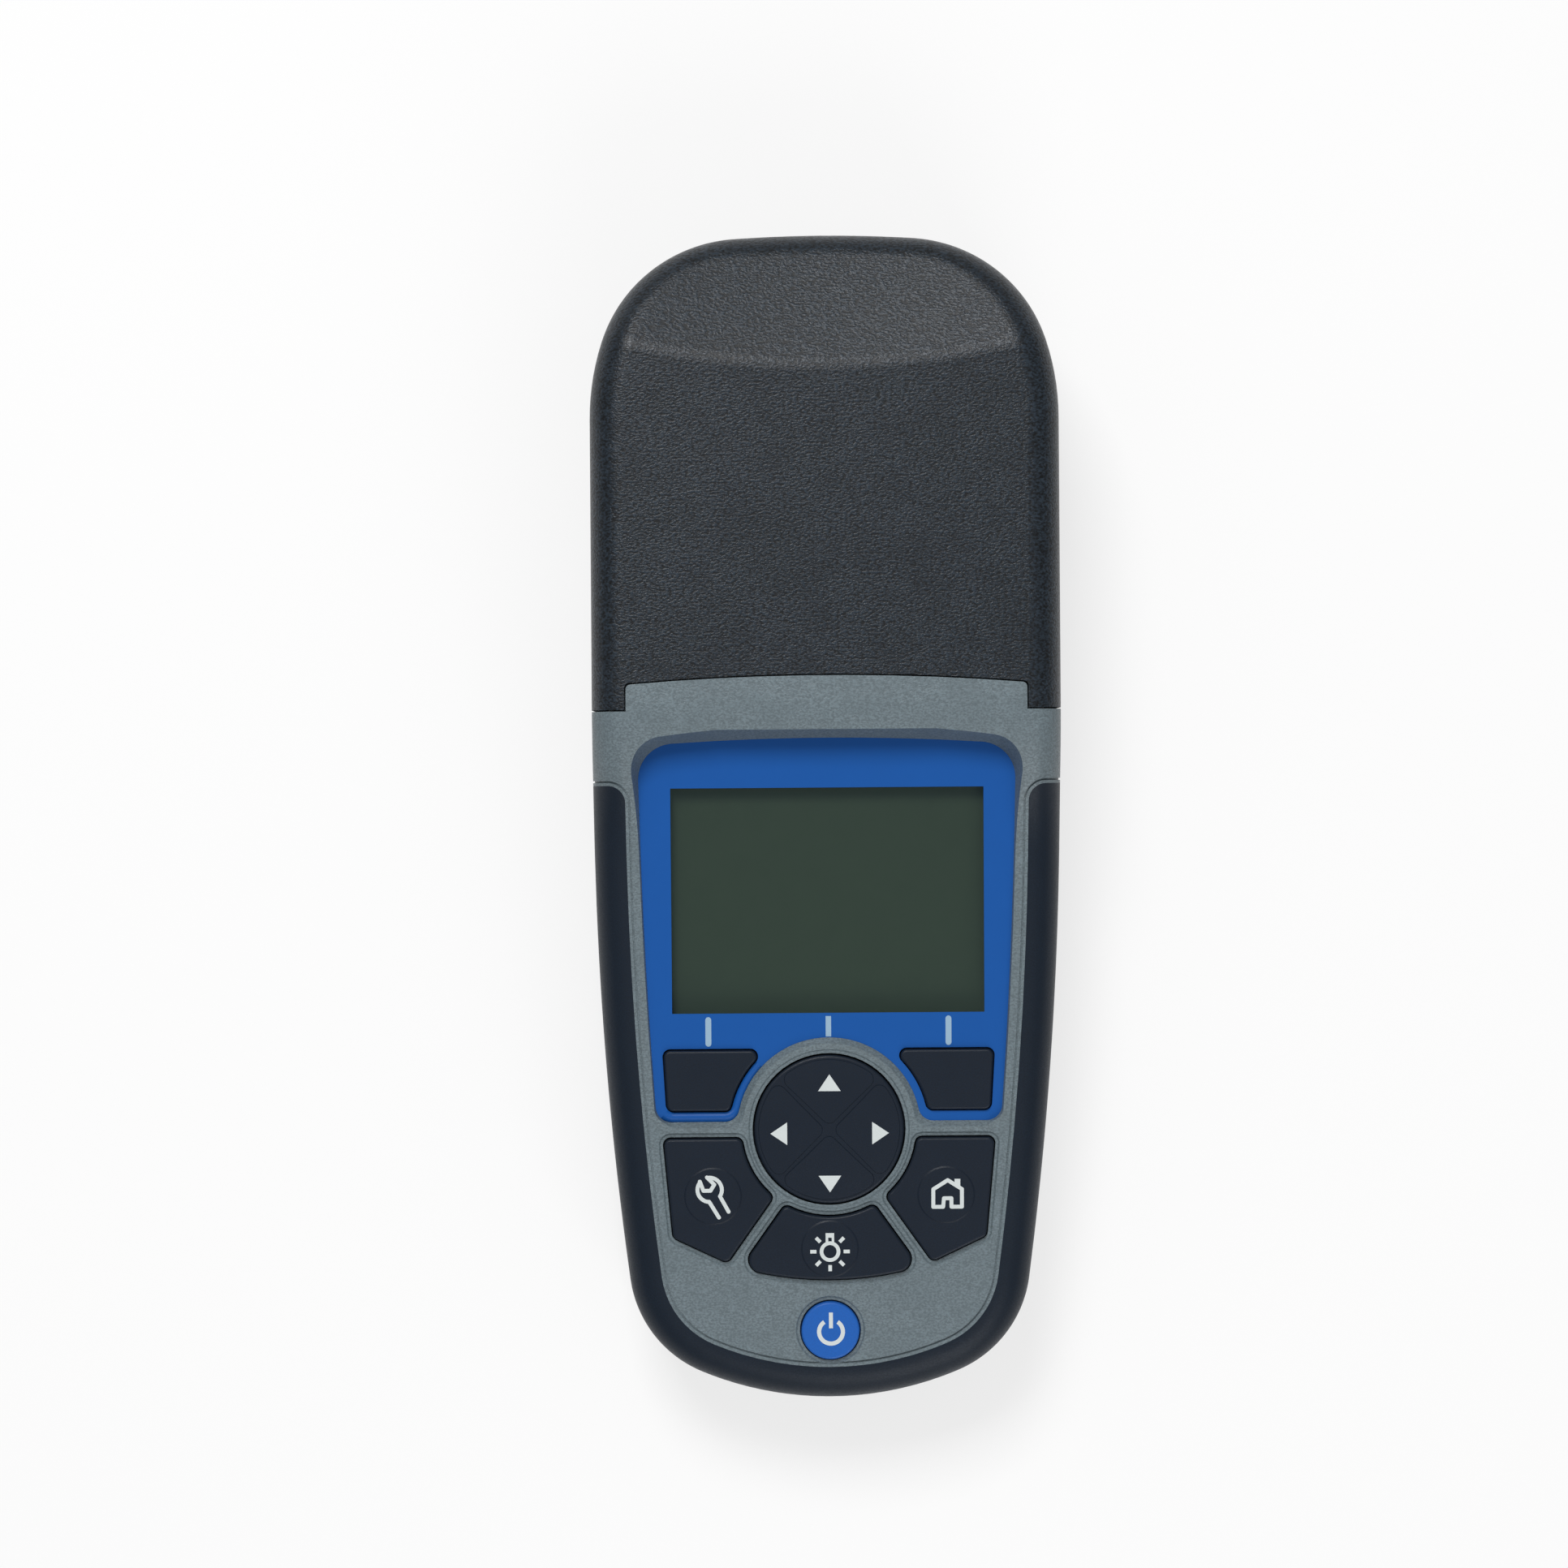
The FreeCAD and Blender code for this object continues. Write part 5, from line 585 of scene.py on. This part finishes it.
@dataclass
class Display:
    """The window with its blue print, the tick marks and the screen behind it."""

    view_half_width: float = 31.6 * MM
    view_bottom: float = -39.3 * MM
    view_top: float = 6.3 * MM
    lift: float = 0.03 * MM
    side_tick_x: float = 24.3
    side_tick: tuple[float, float] = (-40.6, -45.4)
    side_tick_width: float = 1.2
    middle_tick: tuple[float, float] = (-39.95, -44.1)
    middle_tick_width: float = 1.1
    merged: float = 1e-6
    on_top: float = 1e-5
    facing_out: float = 0.99
    level: float = 0.001

    def finishes(self) -> dict[str, object]:
        """Gives the finish of each of the display's material slots."""
        return {
            "window_blue": ClearPart((60, 80, 90), 0.1),
            "tape_black": Moulding((22, 24, 26), Grain.SATIN, 0.6),
            "lcd_glass": Enamel((53, 66, 49), 0.45, specular=0.15, mottling=0.06),
            "light_guide": ClearPart((225, 230, 225), 0.8, 0.3),
        }

    def facing(self) -> Vector:
        """Gives the direction that the sloping face looks in."""
        press = next(j for j in frame["joints"] if j["name"] == "home_key_press")
        return -Vector(press["axis"]).normalized()

    def print_layer(self, finish: bpy.types.Material) -> bpy.types.Object:
        """Makes the blue layer on the window, open where the screen shows.

        Args:
            finish: its material.

        Returns:
            The piece.
        """
        out = self.facing()
        layer = bmesh.new()
        layer.from_mesh(frame["nodes"]["display_window"].data)
        bmesh.ops.remove_doubles(layer, verts=layer.verts[:], dist=self.merged)
        layer.normal_update()
        top = max(v.co.dot(out) for v in layer.verts) - self.on_top
        rest = [
            face for face in layer.faces
            if face.normal.dot(out) < self.facing_out or face.calc_center_median().dot(out) < top
        ]
        bmesh.ops.delete(layer, geom=rest, context="FACES")
        bmesh.ops.dissolve_limit(layer, angle_limit=self.level, verts=layer.verts[:], edges=layer.edges[:])
        split(layer, ACROSS * self.view_half_width, ACROSS)
        split(layer, ACROSS * -self.view_half_width, ACROSS)
        split(layer, ALONG * self.view_top, ALONG)
        split(layer, ALONG * self.view_bottom, ALONG)
        opening = [f for f in layer.faces if self.in_view(f.calc_center_median())]
        bmesh.ops.delete(layer, geom=opening, context="FACES")
        bmesh.ops.triangulate(layer, faces=layer.faces[:])
        bmesh.ops.translate(layer, verts=layer.verts[:], vec=out * self.lift)
        piece = finished("window_print", layer, finish)
        thickness(piece, self.lift)
        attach(piece, "root")
        LOG.info("window_print: %d faces", len(piece.data.polygons))
        return piece

    def in_view(self, point: Vector) -> bool:
        """Tells whether a point lies in the opening that the screen shows through."""
        return abs(point.x) < self.view_half_width and self.view_bottom < point.y < self.view_top

    def ticks(self) -> dict[str, list[Stroke]]:
        """Gives the pale marks that lead from the screen to the keys."""
        side = [
            Bar((x, self.side_tick[0]), (x, self.side_tick[1]), self.side_tick_width)
            for x in (-self.side_tick_x, self.side_tick_x)
        ]
        top, bottom = self.middle_tick
        middle = Bar((0.0, top), (0.0, bottom), self.middle_tick_width, Edge.SQUARE)
        return {"tick_left": side[:1], "tick_right": side[1:], "tick_middle": [middle]}

    def build(self, printer: Printer) -> None:
        """Makes the window's print and the tick marks."""
        self.print_layer(Enamel((22, 85, 162), 0.4, specular=0.2, mottling=0.03).material("blue_print"))
        ink = Enamel((150, 180, 203), 0.45).material("pale_blue_ink")
        for name, strokes in self.ticks().items():
            printer.lay(name, strokes, "display_window", "root", ink, self.lift)


@dataclass
class Keypad:
    """The keys, the navigation pad and the marks printed on them."""

    line: float = 0.78
    pad_centre: tuple[float, float] = (0.1, -63.7)
    arrow_base: float = 8.6
    arrow_tip: float = 12.0
    arrow_half: float = 2.3
    jaw_centre: tuple[float, float] = (-24.3, -75.0)
    left_jaw_radius: float = 2.45
    right_jaw_radius: float = 2.5
    bulb_centre: tuple[float, float] = (0.01, -87.74)
    bulb_radius: float = 1.72
    bulb_line: float = 0.75
    ray_start: float = 2.75
    ray_end: float = 4.0
    ray_line: float = 0.72
    ring_centre: tuple[float, float] = (0.1, -104.12)
    ring_radius: float = 2.42
    ring_line: float = 0.85
    power_bar: tuple[float, float] = (-100.2, -103.4)
    power_bar_line: float = 0.8

    def finishes(self) -> dict[str, object]:
        """Gives the finish of each of the keypad's material slots."""
        return {
            "key_dark": Moulding((21, 31, 44), Grain.SATIN, 0.42, specular=0.25),
            "power_blue": Moulding((33, 96, 181), Grain.SATIN, 0.4, grain_tone_and_shade=0.05, specular=0.25),
            "mat_rubber": Moulding((40, 42, 45), Grain.SATIN, 0.7),
        }

    def arrows(self) -> dict[str, list[Stroke]]:
        """Gives the four arrows of the navigation pad."""
        middle = Vector(self.pad_centre)
        arrows = {}
        for name, degrees in (("right", 0), ("up", 90), ("left", 180), ("down", 270)):
            out = Vector((math.cos(math.radians(degrees)), math.sin(math.radians(degrees))))
            side = Vector((-out.y, out.x)) * self.arrow_half
            base = middle + out * self.arrow_base
            tip = middle + out * self.arrow_tip
            arrows[f"arrow_{name}"] = [Patch((tuple(base - side), tuple(tip), tuple(base + side)))]
        return arrows

    def wrench(self) -> list[Stroke]:
        """Gives the open-ended wrench of the settings key."""
        jaw_left = (-26.25, -73.3)
        jaw_right = (-24.8, -72.45)
        shank_left = [(-24.4, -77.4), (-22.43, -80.64)]
        shank_right = [(-22.2, -76.3), (-20.47, -79.47)]
        mouth = [jaw_left, (-25.55, -75.17), (-24.1, -75.17), (-23.33, -73.92), jaw_right]
        rounds = [
            Arc(self.jaw_centre, self.left_jaw_radius, 268, 141, self.line),
            Arc(self.jaw_centre, self.right_jaw_radius, 101, -31, self.line),
        ]
        return rounds + path(mouth, self.line) + path(shank_left, self.line) + path(shank_right, self.line)

    def house(self) -> list[Stroke]:
        """Gives the house of the home key."""
        apex = (23.93, -73.36)
        left = [apex, (21.0, -75.19), (20.98, -78.78), (22.97, -78.78), (23.15, -77.04)]
        right = [(23.15, -77.04), (24.66, -77.04), (24.66, -78.78), (26.78, -78.78), (26.79, -75.19), apex]
        chimney = Patch(((25.31, -73.11), (26.47, -73.11), (26.47, -75.1), (25.31, -74.4)))
        return path(left, self.line) + path(right, self.line) + [chimney]

    def lamp(self) -> list[Stroke]:
        """Gives the hanging lamp with its rays on the backlight key."""
        centre = Vector(self.bulb_centre)
        bulb = [
            Arc(self.bulb_centre, self.bulb_radius, 0, 180, self.bulb_line),
            Arc(self.bulb_centre, self.bulb_radius, 180, 360, self.bulb_line),
        ]
        rays = []
        for degrees in (0, 45, 135, 180, 225, 270, 315):
            out = Vector((math.cos(math.radians(degrees)), math.sin(math.radians(degrees))))
            ends = [tuple(centre + out * reach) for reach in (self.ray_start, self.ray_end)]
            rays.append(Bar(*ends, self.ray_line, Edge.SQUARE))
        socket = [
            Bar((0.0, -83.97), (0.0, -84.9), 1.74, Edge.SQUARE),
            Bar((-0.6, -84.8), (-0.6, -85.95), 0.52, Edge.SQUARE),
            Bar((0.62, -84.8), (0.62, -85.95), 0.5, Edge.SQUARE),
        ]
        return bulb + rays + socket

    def power(self) -> list[Stroke]:
        """Gives the open ring with its bar on the power key."""
        ring = Arc(self.ring_centre, self.ring_radius, 124, 416, self.ring_line)
        start, end = [(self.ring_centre[0], y) for y in self.power_bar]
        return [ring, Bar(start, end, self.power_bar_line, Edge.SQUARE)]

    def build(self, printer: Printer) -> None:
        """Lays the arrows and the key marks."""
        ink = Enamel((212, 219, 219), 0.5).material("white_ink")
        for name, strokes in self.arrows().items():
            printer.lay(name, strokes, "nav_pad", "nav_pad", ink)
        printer.lay("wrench_mark", self.wrench(), "settings_key", "settings_key", ink)
        printer.lay("house_mark", self.house(), "home_key", "home_key", ink)
        printer.lay("lamp_mark", self.lamp(), "backlight_key", "backlight_key", ink)
        printer.lay("power_mark", self.power(), "power_key", "power_key", ink)


@dataclass
class Workings:
    """What the casing holds: boards, lamps, cells, springs and the sample well."""

    def finishes(self) -> dict[str, object]:
        """Gives the finish of each of the workings' material slots."""
        return {
            "board_green": Enamel((24, 92, 58), 0.35, coat=0.4, mottling=0.12, patch=1.5 * MM),
            "chip_black": Moulding((30, 31, 33), Grain.SATIN, 0.5),
            "spring_steel": Metal((190, 190, 188), 0.28),
            "lamp_clear": ClearPart((235, 238, 235), 0.45, 0.1),
            "battery_can": Metal((176, 132, 84), 0.35),
            "holder_black": Moulding((26, 27, 30), Grain.SATIN, 0.48),
            "filter_glass": ClearPart((60, 120, 140), 0.5),
        }


@dataclass(frozen=True)
class SoftLamp:
    """A square lamp that looks at the object: where it hangs, its side and its power in watts."""

    name: str
    place: tuple[float, float, float]
    side: float
    power: float


@dataclass
class Studio:
    """Floor, lamps and the camera above the face."""

    image_side: float = 1932.0
    pixels_per_metre: float = 6090.0
    object_pixel: tuple[float, float] = (1018.5, 1009.0)
    roll_degrees: float = 0.42
    face_level: float = 0.034
    distance: float = 1.2
    sensor: float = 36.0
    sky: float = 0.32
    horizon: float = 0.05
    floor_radius: float = 9.0
    floor_rim: float = 1.2
    floor_bounce: float = 0.15
    floor_glow: float = 0.7
    floor_white: float = 0.94
    floor_roughness: float = 0.9
    full_sky_from: float = 0.6
    nearest: float = 0.01
    farthest: float = 50.0
    lamps: tuple[SoftLamp, ...] = (
        SoftLamp("key_lamp", (-0.25, 0.75, 1.2), 0.5, 13.0),
        SoftLamp("fill_lamp", (0.3, -1.0, 0.75), 0.8, 6.0),
    )

    def camera(self) -> None:
        """Hangs the camera above the object, square to the bench."""
        middle = self.image_side / 2
        x = (middle - self.object_pixel[0]) / self.pixels_per_metre
        y = (self.object_pixel[1] - middle) / self.pixels_per_metre
        data = bpy.data.cameras.new("camera")
        data.sensor_width = self.sensor
        data.lens = self.sensor * self.distance * self.pixels_per_metre / self.image_side
        data.clip_start = self.nearest
        data.clip_end = self.farthest
        camera = bpy.data.objects.new("camera", data)
        camera.location = (x, y, self.face_level + self.distance)
        camera.rotation_euler = (0.0, 0.0, -math.radians(self.roll_degrees))
        bpy.context.scene.collection.objects.link(camera)
        bpy.context.scene.camera = camera

    def hang(self, soft: SoftLamp) -> None:
        """Hangs one soft lamp that looks at the object's face."""
        data = bpy.data.lights.new(soft.name, "AREA")
        data.size = soft.side
        data.energy = soft.power
        lamp = bpy.data.objects.new(soft.name, data)
        lamp.location = soft.place
        towards = UP * self.face_level - lamp.location
        lamp.rotation_euler = towards.to_track_quat("-Z", "Y").to_euler()
        bpy.context.scene.collection.objects.link(lamp)

    def seen(self, tree: bpy.types.NodeTree) -> bpy.types.NodeSocket:
        """Tells the rays that show the background, straight, mirrored or through glass.

        Args:
            tree: the node tree that asks.

        Returns:
            One for those rays and zero for the rest.
        """
        light_path = tree.nodes.new("ShaderNodeLightPath")
        total = light_path.outputs["Is Camera Ray"]
        for other in ("Is Glossy Ray", "Is Transmission Ray"):
            add = tree.nodes.new("ShaderNodeMath")
            add.operation = "MAXIMUM"
            tree.links.new(total, add.inputs[0])
            tree.links.new(light_path.outputs[other], add.inputs[1])
            total = add.outputs["Value"]
        return total

    def sky_light(self) -> None:
        """Lights the scene from above, less and less towards the horizon."""
        world = bpy.data.worlds.new("studio")
        world.use_nodes = True
        bpy.context.scene.world = world
        tree = world.node_tree
        background = tree.nodes["Background"]
        background.inputs["Color"].default_value = (1.0, 1.0, 1.0, 1.0)
        place = tree.nodes.new("ShaderNodeTexCoord")
        height = tree.nodes.new("ShaderNodeSeparateXYZ")
        strength = tree.nodes.new("ShaderNodeMapRange")
        strength.inputs["From Max"].default_value = self.full_sky_from
        strength.inputs["To Min"].default_value = self.horizon
        strength.inputs["To Max"].default_value = self.sky
        tree.links.new(place.outputs["Generated"], height.inputs["Vector"])
        tree.links.new(height.outputs["Z"], strength.inputs["Value"])
        tree.links.new(strength.outputs["Result"], background.inputs["Strength"])

    def floor(self) -> None:
        """Lays the white floor with its raised rim; it keeps a soft shadow of the object."""
        shape = bmesh.new()
        bmesh.ops.create_cone(shape, cap_ends=True, segments=96, radius1=self.floor_radius,
                              radius2=self.floor_radius, depth=self.floor_rim)
        lids = [f for f in shape.faces if f.calc_center_median().z > self.floor_rim / 4]
        bmesh.ops.delete(shape, geom=lids, context="FACES_ONLY")
        bmesh.ops.translate(shape, verts=shape.verts[:], vec=UP * (self.floor_rim / 2))
        material = bpy.data.materials.new("white_floor")
        material.use_nodes = True
        tree = material.node_tree
        shader = tree.nodes["Principled BSDF"]
        shader.inputs["Roughness"].default_value = self.floor_roughness
        tone = tree.nodes.new("ShaderNodeMapRange")
        tone.inputs["To Min"].default_value = self.floor_bounce
        tone.inputs["To Max"].default_value = self.floor_white
        tree.links.new(self.seen(tree), tone.inputs["Value"])
        tree.links.new(tone.outputs["Result"], shader.inputs["Base Color"])
        glow = tree.nodes.new("ShaderNodeEmission")
        glow.inputs["Color"].default_value = (1.0, 1.0, 1.0, 1.0)
        mix = tree.nodes.new("ShaderNodeMixShader")
        share = tree.nodes.new("ShaderNodeMapRange")
        share.inputs["To Max"].default_value = self.floor_glow
        tree.links.new(self.seen(tree), share.inputs["Value"])
        tree.links.new(share.outputs["Result"], mix.inputs[0])
        tree.links.new(shader.outputs[0], mix.inputs[1])
        tree.links.new(glow.outputs[0], mix.inputs[2])
        tree.links.new(mix.outputs[0], tree.nodes["Material Output"].inputs["Surface"])
        finished("floor", shape, material)

    def build(self) -> None:
        """Sets up the camera, the sky, the floor and the lamps."""
        self.camera()
        self.sky_light()
        self.floor()
        for soft in self.lamps:
            self.hang(soft)
        bpy.context.scene.view_settings.view_transform = "Standard"


def dress(parts: list[object]) -> None:
    """Gives every node the finish of its material slot.

    Args:
        parts: the sub-assemblies, each of which names the finishes of its slots.
    """
    finishes = {}
    for part in parts:
        finishes.update(part.finishes())
    made = {}
    for name, node in sorted(frame["nodes"].items()):
        slot = node.data.materials[0].name
        if slot not in made:
            made[slot] = finishes[slot].material(f"{slot}_finish")
        node.data.materials.clear()
        node.data.materials.append(made[slot])
        LOG.info("%s: %s", name, slot)


def main() -> None:
    """Builds the studio and dresses the object."""
    logging.basicConfig(level=logging.INFO, format="%(name)s: %(message)s")
    studio = Studio()
    studio.build()
    display = Display()
    keypad = Keypad()
    dress([Casing(), display, keypad, Workings()])
    printer = Printer()
    display.build(printer)
    keypad.build(printer)


if __name__ == "__main__":
    main()
